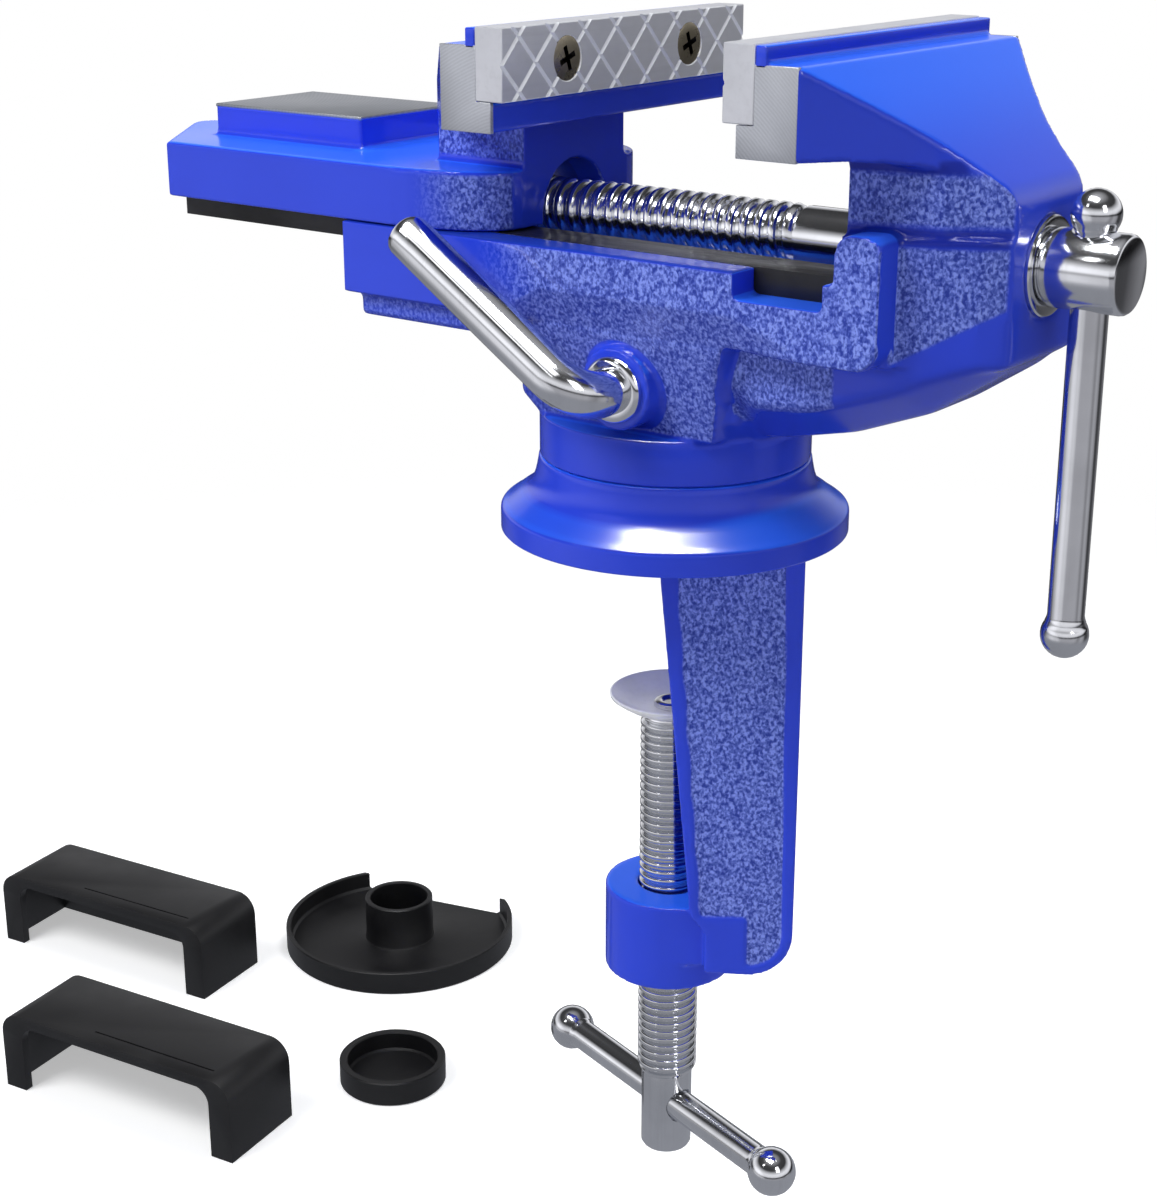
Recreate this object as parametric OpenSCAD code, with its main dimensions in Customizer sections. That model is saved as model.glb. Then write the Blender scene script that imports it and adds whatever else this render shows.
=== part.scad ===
/* [Jaws] */
// Length of both jaws and their plates, across the vise
jaw_w = 75; // [66:1:90]
// Opening between the plates as the vise stands
jaw_gap = 45.2; // [42:0.1:48]
// Thickness of a jaw plate
plate_t = 6; // [5:0.1:8]
// Height of a jaw plate
plate_h = 12.6; // [11:0.1:14]
// How deep a plate sits in its jaw
plate_seat = 3.3; // [2:0.1:4]
// How far a plate stands above its jaw's shoulder
plate_rise = 3.2; // [2:0.1:5]
// Height of a jaw head, underside to shoulder
head_h = 14.8; // [13:0.1:18]
// Machined depth of a jaw head, along the screw
head_d = 11.3; // [9:0.1:14]
// Distance from the swivel axis to the fixed plate's face
fixed_face_x = 34.1; // [32:0.1:36]

/* [Slide] */
// Height of the rails above the bench
rail_z = 56.7; // [54:0.1:62]
// Half width of the body and of the moving jaw
rail_half = 28; // [26:0.5:32]
// Thickness of each rail
rail_wall = 7; // [6:0.1:8]
// Height of the moving jaw's deck above the rails
deck_h = 11.1; // [10:0.1:14]
// Height of the jaw heads' undersides above the rails
head_rise = 20.4; // [18:0.1:26]
// Length of the moving jaw, from its nose to its neck
slide_len = 103; // [95:1:115]
// Distance from the moving jaw's tip to its end corners
slide_end_in = 20; // [16:0.1:24]
// Radius of the moving jaw's tip
slide_tip_r = 5.5; // [5.3:0.1:8]
// Half width of the moving jaw's neck
neck_half = 15.5; // [14:0.1:18]
// Depth of the moving jaw's neck, along the screw
neck_d = 21; // [18:0.1:24]
// Length of the anvil
anvil_len = 40.7; // [34:0.1:44]
// Width of the anvil
anvil_w = 28.7; // [24:0.1:34]
// Height of the anvil above the deck
anvil_h = 6.4; // [4:0.1:9]
// Distance from the moving jaw's end to the anvil
anvil_back = 20.4; // [16:0.1:24]
// Thickness of the guide plate
guide_t = 4.7; // [4:0.1:5.5]
// Length of guide plate that overhangs the body
guide_overhang = 51; // [44:1:53]

/* [Body] */
// Distance from the swivel axis to the body's back end
body_back = 59; // [56:0.5:64]
// Height of the body's arm under the rails
arm_h = 13.9; // [13:0.1:17]
// Depth of the rib under the arm
rib_h = 4; // [3:0.1:5]
// Radius of the swivel collar
collar_r = 26; // [24.5:0.1:28]
// Height of the swivel collar
collar_h = 8.5; // [7:0.1:10]
// Radius of the round column above the collar
column_r = 29.2; // [28.5:0.1:31]
// Distance from the swivel axis to the front jaw's nose
nose_x = 74.5; // [73:0.1:78]
// Half width of the front jaw at its nose
nose_half = 18.5; // [17:0.1:20]
// Length of the notch in each rail
notch_len = 17.5; // [14:0.1:19]
// Width of the upright web in front of the notch
hook_w = 8.5; // [7:0.1:10]
// Height of the upright web above the rails
hook_rise = 8.5; // [6:0.1:10]

/* [Spindle] */
// Height of the spindle's axis above the rails
axis_rise = 1.9; // [1.5:0.1:3]
// Radius of the spindle's thread
spindle_r = 5.8; // [5:0.1:6.2]
// Pitch of the spindle's thread
spindle_pitch = 3; // [2.5:0.1:4]
// Length of spindle inside the moving jaw, behind its neck
spindle_tail = 36; // [34:0.5:38]
// Radius of the spindle's head
spindle_head_r = 6.7; // [6:0.1:7.5]
// Length of the spindle's head
spindle_head_len = 13.5; // [12:0.1:16]
// Radius of the handle bar
handle_r = 3.2; // [2.6:0.1:3.4]
// Distance between the centres of the handle's balls
handle_len = 72.5; // [64:0.5:80]
// Radius of the handle's balls
handle_ball_r = 4.2; // [4:0.1:5]

/* [Swivel base] */
// Radius of the flange on the bench
flange_r = 33.6; // [32:0.1:38]
// Height of the flange's rim
rim_h = 4.4; // [3.5:0.1:5]
// Height of the swivel base, bench to collar
base_h = 14.5; // [13:0.1:16]
// Radius of the post that the body turns on
post_r = 17.9; // [17:0.1:18.5]
// Height of the post above the base
post_h = 25; // [23.5:0.1:26]

/* [Clamp] */
// Turn of the clamp frame about the swivel axis
clamp_turn = 31; // [15:1:45]
// Depth of the clamp's throat, from the bench face to the foot
throat_h = 76.7; // [70:0.1:84]
// Half width of the clamp's arm
arm_half = 16; // [15.2:0.1:18]
// Thickness of each side wall of the arm
cheek_t = 3.1; // [2.6:0.1:3.3]
// Distance from the swivel axis to the arm's outer face
arm_out = 25.6; // [24:0.1:28]
// Thickness of the arm's back wall
arm_back_t = 6.1; // [5:0.1:7]
// Radius of the nut boss
boss_r = 13.1; // [12:0.1:14.5]
// Height of the nut boss
boss_h = 18.5; // [16:0.1:20]
// Radius of the clamp screw's thread
clamp_r = 6.2; // [5.6:0.1:6.4]
// Pitch of the clamp screw's thread
clamp_pitch = 1.75; // [1.5:0.05:2]
// Depth of the disc's rim below the bench face
disc_drop = 35; // [33:0.1:37]
// Radius of the clamp disc
disc_r = 12.4; // [11.8:0.1:12.5]
// Length of the clamp screw, disc to smooth end
clamp_len = 99.6; // [94:0.1:104]
// Length of the clamp screw's smooth end
clamp_end_len = 18.2; // [17:0.1:20]
// Radius of the clamp bar
clamp_bar_r = 3.2; // [2.6:0.1:3.4]
// Distance between the centres of the clamp bar's ends
clamp_bar_len = 69; // [60:0.5:76]
// Radius of the clamp bar's ends
clamp_ball_r = 4.9; // [4.4:0.1:5.4]
// Turn of the clamp bar about its screw, as it stands
clamp_bar_turn = -17; // [-40:1:10]

/* [Lock lever] */
// Radius of the lock lever's rod
lever_r = 4.3; // [3.8:0.1:4.6]
// Length of the lock lever, pivot to tip
lever_len = 48; // [42:0.5:52]
// Lean of the lever from level, as it stands
lever_lean = 33; // [28:1:45]
// Distance from the swivel axis to the lock screw
lock_x = 4.5; // [3.5:0.1:5]
// Height of the lock screw above the collar's underside
lock_rise = 17.6; // [17:0.1:18.5]

/* [Soft pads] */
// Depth below the bench face of the level that the pads lie on
pads_drop = 202; // [190:1:215]
// Thickness of the soft pads' walls
pad_t = 1.5; // [1.2:0.1:2]
// Height of a soft jaw cover
cover_h = 23; // [21:0.1:26]
// Depth of a soft jaw cover, along the screw
cover_d = 26; // [23:0.1:30]
// Radius of a jaw cover's upper corners
cover_round = 6; // [5:0.1:7]
// Height of the base pad's rim
dish_h = 7; // [6.4:0.1:8]
// Height of the base pad's hub
hub_h = 15; // [12:0.1:16]
// Thickness of the disc cap's wall
cap_wall = 2.2; // [1.5:0.1:3]
// Height of the disc cap
cap_h = 7; // [6.2:0.1:7.5]

/* [Hidden] */

$fn = 64;
// One overrun for every cut, and the clearances of the fits
over = 1;
run_clear = 0.06;
slide_clear = 0.1;
seat_clear = 0.15;
free_clear = 0.3;

// Levels and stations that several pieces share
axis_z = rail_z + axis_rise;
deck_z = rail_z + deck_h;
head_z = rail_z + head_rise;
shoulder_z = head_z + head_h;
plate_top_z = shoulder_z + plate_rise;
plate_z = plate_top_z - plate_h;
arm_z = rail_z - arm_h;
guide_z = rail_z - guide_t;
collar_z = base_h + 2 * slide_clear;
collar_top_z = collar_z + collar_h;
fixed_cast_x = fixed_face_x + plate_t - plate_seat;
moving_face_x = fixed_face_x - jaw_gap;
moving_cast_x = moving_face_x - plate_t + plate_seat;
neck_set = 10.2;
neck_x = moving_cast_x - neck_set;
slide_back_x = neck_x - slide_len;
slide_corner_x = slide_back_x + slide_end_in;
slide_tip_x = slide_back_x + slide_tip_r;
channel_half = rail_half - rail_wall;

// Plate screws
plate_screw_pitch = 38;
plate_screw_r = 2;
plate_screw_head_r = 4;
plate_screw_head_t = 2.4;
plate_screw_len = 14;
cross_len = 4.6;
cross_w = 1.1;
cross_depth = 1.3;

// Jaw plates' diamond grooves
groove_pitch = 9.4;
groove_w = 0.8;
groove_depth = 0.35;
groove_count = 7;

// Jaw lips behind the plates
lip_t = 2.1;
lip_drop = 0.25;

// Guide plate and what runs in it
guide_half = channel_half - slide_clear * 2;
slot_half = 11.3;
slot_back = 13;
ledge_half = 15.2;
channel_deep = 5.6;
guide_pocket = 7.5;
guide_screw_r = 1.5;
guide_screw_head_r = 2.5;
guide_screw_head_t = 1.5;
guide_screw_len = 9;
guide_screw_y = (ledge_half + channel_half) / 2;
guide_screw_set = 7;
guide_screw_pitch = 24;

// Moving jaw's inside
nut_r = 8.4;
nut_len = 18;
nut_flange_r = 9.6;
nut_flange_t = 2.5;
nut_set = 6;
keel_half = slot_half - 2 * free_clear;
keel_len = 22;
keel_foot_half = ledge_half - free_clear;
keel_foot_h = 3.6;
keel_back_wall = 1.8;
jaw_wall = 4.6;
jaw_roof = 3.6;
nut_pin_r = 1.5;

// Front jaw
hook_out = 3.6;
side_root_half = 23;
recess_step = 1.2;
recess_rise = 7.6;
nose_cut = 4;
nose_arc_r = 6.8;
nose_arc_turn = 56;
nose_arc_drop = 23.9;
belly_half = 9;
flank_half = 20;
hollow_r = 8.6;
front_wall = 10.5;
ring_t = 1.6;
ring_r = 8.5;
ring_seat = 0.8;
collar_ring_r = 7.9;
collar_ring_t = 3.6;
collar_pin_r = 1;
throat_round = 3;
throat_set = 0.4;
notch_set = 0.5;
web_set = 1.5;
throat_x = fixed_cast_x + head_d + throat_set;
notch_x = throat_x - notch_set - notch_len;
web_x = throat_x + web_set;
hook_x = web_x + hook_w;

// Spindle
thread_depth_share = 0.16;
shank_set = 0.2;
shank_r = spindle_r - shank_set;
head_gap = 0.3;
head_round = 1.1;
thread_front_set = 20.5;

// Lock
lock_z = collar_z + lock_rise;
lock_face_y = 26;
lock_pad_r = 3.6;
lock_boss_r = 7.6;
groove_h = 2 * (lock_pad_r + free_clear);
groove_in = 1.6;
lock_tip_gap = 0.3;
lock_pad_len = 4.4;
lever_out = 11;
bend_r = 7;
washer_r = 6.1;
washer_t = 1.4;
tip_round = 2.2;

// Clamp
foot_z = -throat_h - boss_h;
disc_t = 1.3;
disc_dish = 3;
disc_flat_r = 4.6;
rivet_r = 2.4;
rivet_head_r = 3.6;
rivet_head_t = 1.2;
clamp_end_r = 5.3;
bar_drop = 11.2;
foot_round = 9;
foot_up = 6;
arm_lean = 7.4;
arm_top_in = 2.2;
panel_in = 0.4;
panel_edge = 3.2;
panel_top = 6;
hub_bore_r = 10.8;
rim_round = 0.5;

// Lowest end of the clamp screw, and the height of its bar
screw_end_z = -(disc_drop + disc_dish + disc_t + clamp_len);
bar_z = screw_end_z + bar_drop;

// Soft pads where they lie
pads_z = -pads_drop;
cover_turn = 8;
cover_near_at = [-216.4, -9.9];
cover_far_at = [-284.9, 44.6];
base_pad_at = [-186, 119.5];
cap_at = [-133, 57.5];
cover_lip = 7;
cover_lip_t = 2.4;
dish_floor_t = 1.5;
dish_chord = 24.5;
dish_turn = 15;
pad_colour = [0.1, 0.1, 0.11];
hub_wall = 1.6;

// Forms set as shares of the sizes above
thread_shares = [0.12, 0.38, 0.74, 1];
foot_toe_share = 0.5;
foot_side_share = 0.62;
foot_heel_share = 0.2;
flange_top_share = 1.6;
belly_back_share = 0.72;
belly_rise_share = 0.35;
belly_root_share = 0.14;
belly_top_share = 0.9;
nose_side_share = 0.4;
web_nose_share = 0.5;
web_back_share = 0.8;
column_foot_share = 0.74;
column_front_share = 0.83;
neck_slope_share = 0.6;
disc_side_share = 0.8;
disc_bend_share = 0.62;
disc_edge_share = 0.6;
disc_under_share = 0.84;
rivet_dimple_share = 0.75;

function arc(x, z, r, a0, a1, n) =
    [for (i = [0:n]) [x + r * cos(a0 + (a1 - a0) * i / n), z + r * sin(a0 + (a1 - a0) * i / n)]];

// A closed outline in X and Z, drawn through from y0 to y1
module side_cut(points, y0, y1) {
    translate([0, y1, 0])
        rotate([90, 0, 0])
            linear_extrude(height = y1 - y0)
                polygon(points);
}

// A round bar along Z with rounded ends
module round_bar(r, len, edge) {
    rotate_extrude()
        union() {
            square([r - edge, len]);
            translate([0, edge])
                square([r, len - 2 * edge]);
            translate([r - edge, edge])
                circle(edge, $fn = 32);
            translate([r - edge, len - edge])
                circle(edge, $fn = 32);
        }
}

// A threaded bar along Z: a round-cornered groove at each pitch
module thread_bar(r, len, pitch) {
    depth = r * thread_depth_share;
    turns = floor(len / pitch);
    rotate_extrude()
        polygon(concat(
            [[0, 0]],
            [for (i = [0:turns - 1], k = [0:3])
                [k == 0 || k == 3 ? r - depth : r, pitch * (i + thread_shares[k])]],
            [[r - depth, len], [0, len]]));
}

// A countersunk cross-slot screw along X, its head's face at x = 0
module cross_screw(r, head_r, head_t, len) {
    difference() {
        union() {
            translate([-len, 0, 0])
                rotate([0, 90, 0])
                    cylinder(h = len, r = r);
            translate([-head_t, 0, 0])
                rotate([0, 90, 0])
                    cylinder(h = head_t, r1 = r, r2 = head_r);
        }
        for (a = [0, 90])
            rotate([a + 45, 0, 0])
                translate([-cross_depth, -cross_len / 2, -cross_w / 2])
                    cube([cross_depth + over, cross_len, cross_w]);
    }
}

// The hole that takes a countersunk screw, with its clearance
module cross_hole(r, head_r, head_t, len) {
    translate([-len - over, 0, 0])
        rotate([0, 90, 0])
            cylinder(h = len + 2 * over, r = r + slide_clear);
    translate([-head_t - slide_clear, 0, 0])
        rotate([0, 90, 0])
            cylinder(h = head_t + slide_clear, r1 = r + slide_clear, r2 = head_r + slide_clear);
}

// A jaw plate, its grooved face at x = 0 and its body behind it
module jaw_plate() {
    difference() {
        translate([-plate_t, -jaw_w / 2, plate_z])
            cube([plate_t, jaw_w, plate_h]);
        for (side = [-1, 1])
            translate([0, side * plate_screw_pitch / 2, plate_z + plate_h / 2])
                cross_hole(plate_screw_r, plate_screw_head_r, plate_screw_head_t, plate_t);
        for (i = [-groove_count:groove_count], lean = [-45, 45])
            translate([-groove_depth, i * groove_pitch, plate_z + plate_h / 2])
                rotate([lean, 0, 0])
                    translate([0, -groove_w / 2, -plate_h])
                        cube([groove_depth + over, groove_w, 2 * plate_h]);
    }
}

module plate_screws() {
    for (side = [-1, 1])
        translate([-slide_clear, side * plate_screw_pitch / 2, plate_z + plate_h / 2])
            cross_screw(plate_screw_r, plate_screw_head_r, plate_screw_head_t, plate_screw_len);
}

// What a plate and its screws take out of a jaw head, face at x = 0
module plate_seat_cut() {
    translate([-plate_t - slide_clear, -jaw_w / 2 - over, plate_z - slide_clear])
        cube([plate_t + plate_seat + over, jaw_w + 2 * over, plate_h + slide_clear + over]);
    for (side = [-1, 1])
        translate([0, side * plate_screw_pitch / 2, plate_z + plate_h / 2])
            rotate([0, -90, 0])
                cylinder(h = plate_screw_len + over, r = plate_screw_r + slide_clear);
}

// Flange, concave neck and post, on which the body turns
module swivel_base() {
    neck_r = flange_r - flange_top_share * rim_round;
    neck_z = rim_h + rim_round;
    color("royalblue")
        difference() {
            rotate_extrude($fn = 96)
                polygon(concat(
                    [[0, 0], [flange_r, 0], [flange_r, rim_h - rim_round], [flange_r - rim_round, rim_h]],
                    [for (i = [0:8]) [
                        collar_r + (neck_r - collar_r) * (1 - sin(90 * i / 8)),
                        neck_z + (base_h - neck_z) * (1 - cos(90 * i / 8))]],
                    [[post_r, base_h], [post_r, base_h + post_h], [0, base_h + post_h]]));
            // Bore for the base pad's hub
            translate([0, 0, -over])
                cylinder(h = hub_h + over, r = hub_bore_r);
            // Groove that the lock pad presses on
            translate([0, 0, lock_z - groove_h / 2])
                rotate_extrude()
                    translate([post_r - groove_in, 0])
                        square([groove_in + over, groove_h]);
        }
}

// Outline of the arm's side wall, along the throat and up
function cheek_points() = concat(
    [[-arm_top_in, 0], [arm_out, 0]],
    arc(arm_out - foot_round, foot_z + foot_up + foot_round, foot_round, 0, -90, 8),
    [[boss_r * foot_toe_share, foot_z + foot_up], [arm_lean - arm_top_in, -throat_h]]);

module clamp_arm() {
    wall_u = arm_out - arm_back_t;
    side_x = boss_r * foot_side_share;
    panel_z = foot_z + foot_up + panel_edge;
    color("royalblue")
        rotate([0, 0, clamp_turn])
            difference() {
                union() {
                    side_cut(cheek_points(), -arm_half, arm_half);
                    translate([0, 0, foot_z])
                        cylinder(h = boss_h, r = boss_r);
                    translate([0, 0, foot_z + foot_up])
                        linear_extrude(height = boss_h - foot_up)
                            polygon([[0, -boss_r], [side_x, -arm_half], [boss_r, -arm_half],
                                [boss_r, arm_half], [side_x, arm_half], [0, boss_r]]);
                }
                // Hollow between the arm's side walls
                translate([-arm_half, -arm_half + cheek_t, -throat_h])
                    cube([arm_half + wall_u, 2 * (arm_half - cheek_t), throat_h + over]);
                // Throat side of the foot, in front of the boss
                for (side = [-1, 1])
                    side_cut([[arm_top_in - arm_half, -throat_h], [arm_lean - arm_top_in, -throat_h],
                        [side_x, -throat_h - boss_h * foot_heel_share], [side_x, foot_z - over],
                        [arm_top_in - arm_half, foot_z - over]],
                        side > 0 ? boss_r : -arm_half - over, side > 0 ? arm_half + over : -boss_r);
                // Shallow panels on both sides of the arm
                for (side = [-1, 1])
                    side_cut(concat(
                        [[panel_edge - arm_top_in, -panel_top], [arm_out - panel_edge, -panel_top]],
                        arc(arm_out - foot_round, foot_z + foot_up + foot_round,
                            foot_round - panel_edge, 0, -90, 6),
                        [[boss_r + panel_edge, panel_z], [boss_r + panel_edge, -throat_h],
                            [arm_lean - arm_top_in + panel_edge, -throat_h]]),
                        side > 0 ? arm_half - panel_in : -arm_half - over,
                        side > 0 ? arm_half + over : -arm_half + panel_in);
                // Bore for the clamp screw
                translate([0, 0, foot_z - over])
                    cylinder(h = boss_h + 2 * over, r = clamp_r + run_clear);
            }
}

belly_shares = [[1, 0.86], [0.93, 0.7], [0.72, 0.38], [0.46, 0.15], [0.19, 0.01], [0.03, 0]];
flank_shares = [[1, 1], [0.72, 0.62], [0.42, 0.39], [0.2, 0.35], [0.12, 0.5]];

module front_jaw_plan(inset, back_x) {
    polygon([[back_x, -side_root_half + inset], [nose_x - nose_cut, -nose_half + inset],
        [nose_x, -nose_half + nose_cut], [nose_x, nose_half - nose_cut],
        [nose_x - nose_cut, nose_half - inset], [back_x, side_root_half - inset]]);
}

// Slope of the front jaw's top, from its shoulder to its nose
function jaw_top_points(back_x) = concat(
    [[back_x, collar_z], [back_x, shoulder_z], [fixed_cast_x + head_d, shoulder_z]],
    arc(nose_x - nose_arc_r, shoulder_z - nose_arc_drop, nose_arc_r, nose_arc_turn, 0, 6),
    [[nose_x, collar_z]]);

module front_jaw() {
    side_half = nose_half + nose_cut * nose_side_share;
    belly_x0 = collar_r * belly_back_share;
    belly_l = nose_x - belly_x0;
    belly_z0 = collar_top_z + seat_clear;
    belly_dz = arm_z + arm_h * belly_rise_share - belly_z0;
    // Head, tapering to the nose
    intersection() {
        translate([0, 0, head_z])
            linear_extrude(height = head_h + plate_rise)
                polygon([[fixed_cast_x, -jaw_w / 2], [fixed_cast_x + head_d, -jaw_w / 2],
                    [nose_x - nose_cut, -side_half], [nose_x, -nose_half + nose_cut],
                    [nose_x, nose_half - nose_cut], [nose_x - nose_cut, side_half],
                    [fixed_cast_x + head_d, jaw_w / 2], [fixed_cast_x, jaw_w / 2]]);
        side_cut(jaw_top_points(fixed_cast_x), -jaw_w / 2, jaw_w / 2);
    }
    // Lip behind the plate
    translate([fixed_face_x + plate_t + slide_clear, -jaw_w / 2, shoulder_z - over])
        cube([lip_t, jaw_w, plate_rise + over - lip_drop]);
    // Lower body and recessed neck
    intersection() {
        union() {
            translate([0, 0, arm_z])
                linear_extrude(height = rail_z + recess_rise - arm_z)
                    front_jaw_plan(0, throat_x);
            translate([0, 0, rail_z])
                linear_extrude(height = head_z - rail_z + over)
                    front_jaw_plan(recess_step, throat_x);
            // Rounded corner under the head
            translate([throat_x, -nose_half, head_z])
                rotate([-90, 0, 0])
                    difference() {
                        translate([-throat_round, 0, 0])
                            cube([throat_round + over, throat_round, 2 * nose_half]);
                        translate([-throat_round, throat_round, -over])
                            cylinder(h = 2 * (nose_half + over), r = throat_round);
                    }
        }
        side_cut(jaw_top_points(fixed_cast_x), -jaw_w / 2, jaw_w / 2);
    }
    // Belly under the jaw
    hull() {
        side_cut(concat([for (p = flank_shares) [belly_x0 + belly_l * p[0], belly_z0 + belly_dz * p[1]]],
            [[belly_x0 + belly_l * belly_root_share, arm_z + rib_h], [nose_x, arm_z + arm_h]]),
            -flank_half, flank_half);
        side_cut(concat([for (p = belly_shares) [belly_x0 + belly_l * p[0], belly_z0 + belly_dz * p[1]]],
            [[belly_x0, arm_z], [nose_x, arm_z + arm_h * belly_top_share]]), -belly_half, belly_half);
    }
}

module body_rails() {
    web_top_z = rail_z + hook_rise;
    nose_r = rib_h * web_nose_share;
    back_r = rib_h * web_back_share;
    // Arm with both rails, and the rib under it
    translate([-body_back, -rail_half, arm_z])
        cube([body_back + hook_x, 2 * rail_half, arm_h]);
    translate([-body_back + rib_h, -channel_half, arm_z - rib_h])
        cube([body_back, 2 * channel_half, rib_h + over]);
    // Upright webs in front of the notches
    for (side = [-1, 1])
        side_cut(concat(
            arc(hook_x - rib_h, arm_z + rib_h, rib_h, -90, 0, 5),
            arc(hook_x - nose_r, web_top_z - nose_r, nose_r, 0, 90, 4),
            arc(web_x + back_r, web_top_z - back_r, back_r, 90, 180, 4),
            [[web_x, arm_z]]),
            side > 0 ? rail_half - hook_out - rib_h : -rail_half,
            side > 0 ? rail_half : -rail_half + hook_out + rib_h);
}

// Section of the column across the vise, drawn in towards the collar
module column_section() {
    foot_half = collar_r * column_foot_share;
    polygon([[-foot_half, collar_top_z - over], [foot_half, collar_top_z - over],
        [rail_half, arm_z + arm_h / 2], [-rail_half, arm_z + arm_h / 2]]);
}

module column() {
    foot_x = collar_r * column_front_share;
    intersection() {
        union() {
            // Round back of the column
            translate([0, 0, collar_top_z + rib_h])
                cylinder(h = arm_z - collar_top_z - rib_h + over, r = column_r, $fn = 96);
            translate([0, 0, collar_top_z])
                cylinder(h = rib_h, r1 = collar_r, r2 = column_r, $fn = 96);
            // Its flat front corners
            side_cut([[0, collar_top_z], [foot_x, collar_top_z],
                [foot_x + hook_w, rail_z - guide_t], [0, rail_z - guide_t]], -rail_half, rail_half);
        }
        rotate([90, 0, 90])
            translate([0, 0, -column_r - over])
                linear_extrude(height = column_r + nose_x)
                    column_section();
    }
}

module body_casting() {
    wall_x = nose_x - front_wall;
    color("royalblue")
        difference() {
            union() {
                translate([0, 0, collar_z])
                    cylinder(h = collar_h, r = collar_r, $fn = 96);
                column();
                body_rails();
                front_jaw();
                // Round boss that carries the lock screw
                translate([lock_x, -lock_face_y, lock_z])
                    rotate([-90, 0, 0])
                        cylinder(h = lock_face_y - post_r - groove_in, r = lock_boss_r);
            }
            // Socket for the post
            translate([0, 0, collar_z - over])
                cylinder(h = post_h + slide_clear + over, r = post_r + run_clear);
            // Channel between the rails, its ledges and the plate's pocket
            translate([-body_back - over, -channel_half, guide_z])
                cube([body_back + throat_x + guide_pocket + over, 2 * channel_half, guide_t + over]);
            translate([-body_back - over, -ledge_half, guide_z - channel_deep])
                cube([body_back + throat_x - rib_h + over, 2 * ledge_half, channel_deep + over]);
            // Notch in each rail
            for (side = [-1, 1])
                translate([notch_x, side > 0 ? channel_half - over : -rail_half - over, guide_z])
                    cube([notch_len, rail_wall + 2 * over, guide_t + over]);
            // Pocket behind the front wall, and the spindle's bore
            translate([throat_x - over, 0, axis_z])
                rotate([0, 90, 0])
                    cylinder(h = wall_x - throat_x + over, r = hollow_r);
            translate([wall_x - over, 0, axis_z])
                rotate([0, 90, 0])
                    cylinder(h = front_wall + 2 * over, r = shank_r + run_clear);
            translate([nose_x - ring_seat, 0, axis_z])
                rotate([0, 90, 0])
                    cylinder(h = ring_seat + over, r = ring_r + slide_clear);
            // Lock screw's hole
            translate([lock_x, -lock_face_y - over, lock_z])
                rotate([-90, 0, 0])
                    cylinder(h = lock_face_y, r = lock_pad_r + run_clear);
            // Plate seat, seen from the plate's own side
            translate([fixed_face_x, 0, 0])
                mirror([1, 0, 0])
                    plate_seat_cut();
            // Guide plate's screw holes
            for (x = guide_screw_places(), side = [-1, 1])
                translate([x, side * guide_screw_y, guide_z - guide_screw_len])
                    cylinder(h = guide_screw_len + over, r = guide_screw_r + slide_clear);
        }
}

function guide_screw_places() =
    [-body_back + guide_screw_set, -body_back + guide_screw_set + guide_screw_pitch];

module guide_plate() {
    back_x = -body_back - guide_overhang;
    front_x = throat_x + guide_pocket - free_clear;
    top_z = rail_z - slide_clear;
    slot_x = neck_x - spindle_tail - slot_back;
    color("dimgray")
        difference() {
            translate([back_x, -guide_half, guide_z])
                cube([front_x - back_x, 2 * guide_half, top_z - guide_z]);
            translate([slot_x, -slot_half, guide_z - over])
                cube([front_x - slot_x + over, 2 * slot_half, guide_t + 2 * over]);
            for (x = guide_screw_places(), side = [-1, 1])
                translate([x, side * guide_screw_y, top_z])
                    rotate([0, -90, 0])
                        cross_hole(guide_screw_r, guide_screw_head_r, guide_screw_head_t, guide_t);
        }
}

module guide_screws() {
    color("silver")
        for (x = guide_screw_places(), side = [-1, 1])
            translate([x, side * guide_screw_y, rail_z - 2 * slide_clear])
                rotate([0, -90, 0])
                    cross_screw(guide_screw_r, guide_screw_head_r, guide_screw_head_t, guide_screw_len);
}

module front_jaw_plate() {
    color("lightslategray")
        translate([fixed_face_x, 0, 0])
            mirror([1, 0, 0])
                jaw_plate();
}

module front_plate_screws() {
    color("goldenrod")
        translate([fixed_face_x, 0, 0])
            mirror([1, 0, 0])
                plate_screws();
}

module front_ring() {
    color("gainsboro")
        translate([nose_x - ring_seat, 0, axis_z])
            rotate([0, 90, 0])
                difference() {
                    cylinder(h = ring_t, r = ring_r);
                    translate([0, 0, -over])
                        cylinder(h = ring_t + 2 * over, r = shank_r + run_clear);
                }
}

module lock_pad() {
    tip_y = post_r - groove_in + lock_tip_gap;
    color("darkgoldenrod")
        translate([lock_x, -tip_y - lock_pad_len, lock_z])
            rotate([-90, 0, 0])
        cylinder(h = lock_pad_len, r = lock_pad_r);
}

// The moving jaw's plan from above, at the level of its deck
module slide_plan(inset) {
    curve_x = neck_x - neck_d - over;
    corner_run = slide_end_in - slide_tip_r;
    lean = atan2(corner_run, rail_half)
        + asin(slide_tip_r / sqrt(pow(corner_run, 2) + pow(rail_half, 2)));
    corner_x = slide_corner_x + inset * cos(lean) / (1 + sin(lean));
    half = rail_half - inset;
    intersection() {
        polygon(concat(
            arc(slide_tip_x, 0, slide_tip_r - inset, 180 - lean, 180 + lean, 16),
            [[corner_x, -half]],
            [for (i = [0:8]) [curve_x + (neck_x - curve_x) * sin(90 * i / 8) - inset,
                -neck_half - over - (rail_half - neck_half - over) * cos(90 * i / 8)]],
            [for (i = [8:-1:0]) [curve_x + (neck_x - curve_x) * sin(90 * i / 8) - inset,
                neck_half + over + (rail_half - neck_half - over) * cos(90 * i / 8)]],
            [[corner_x, half]]));
        translate([slide_back_x, -half])
            square([slide_len - inset, 2 * half]);
    }
}

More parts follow.
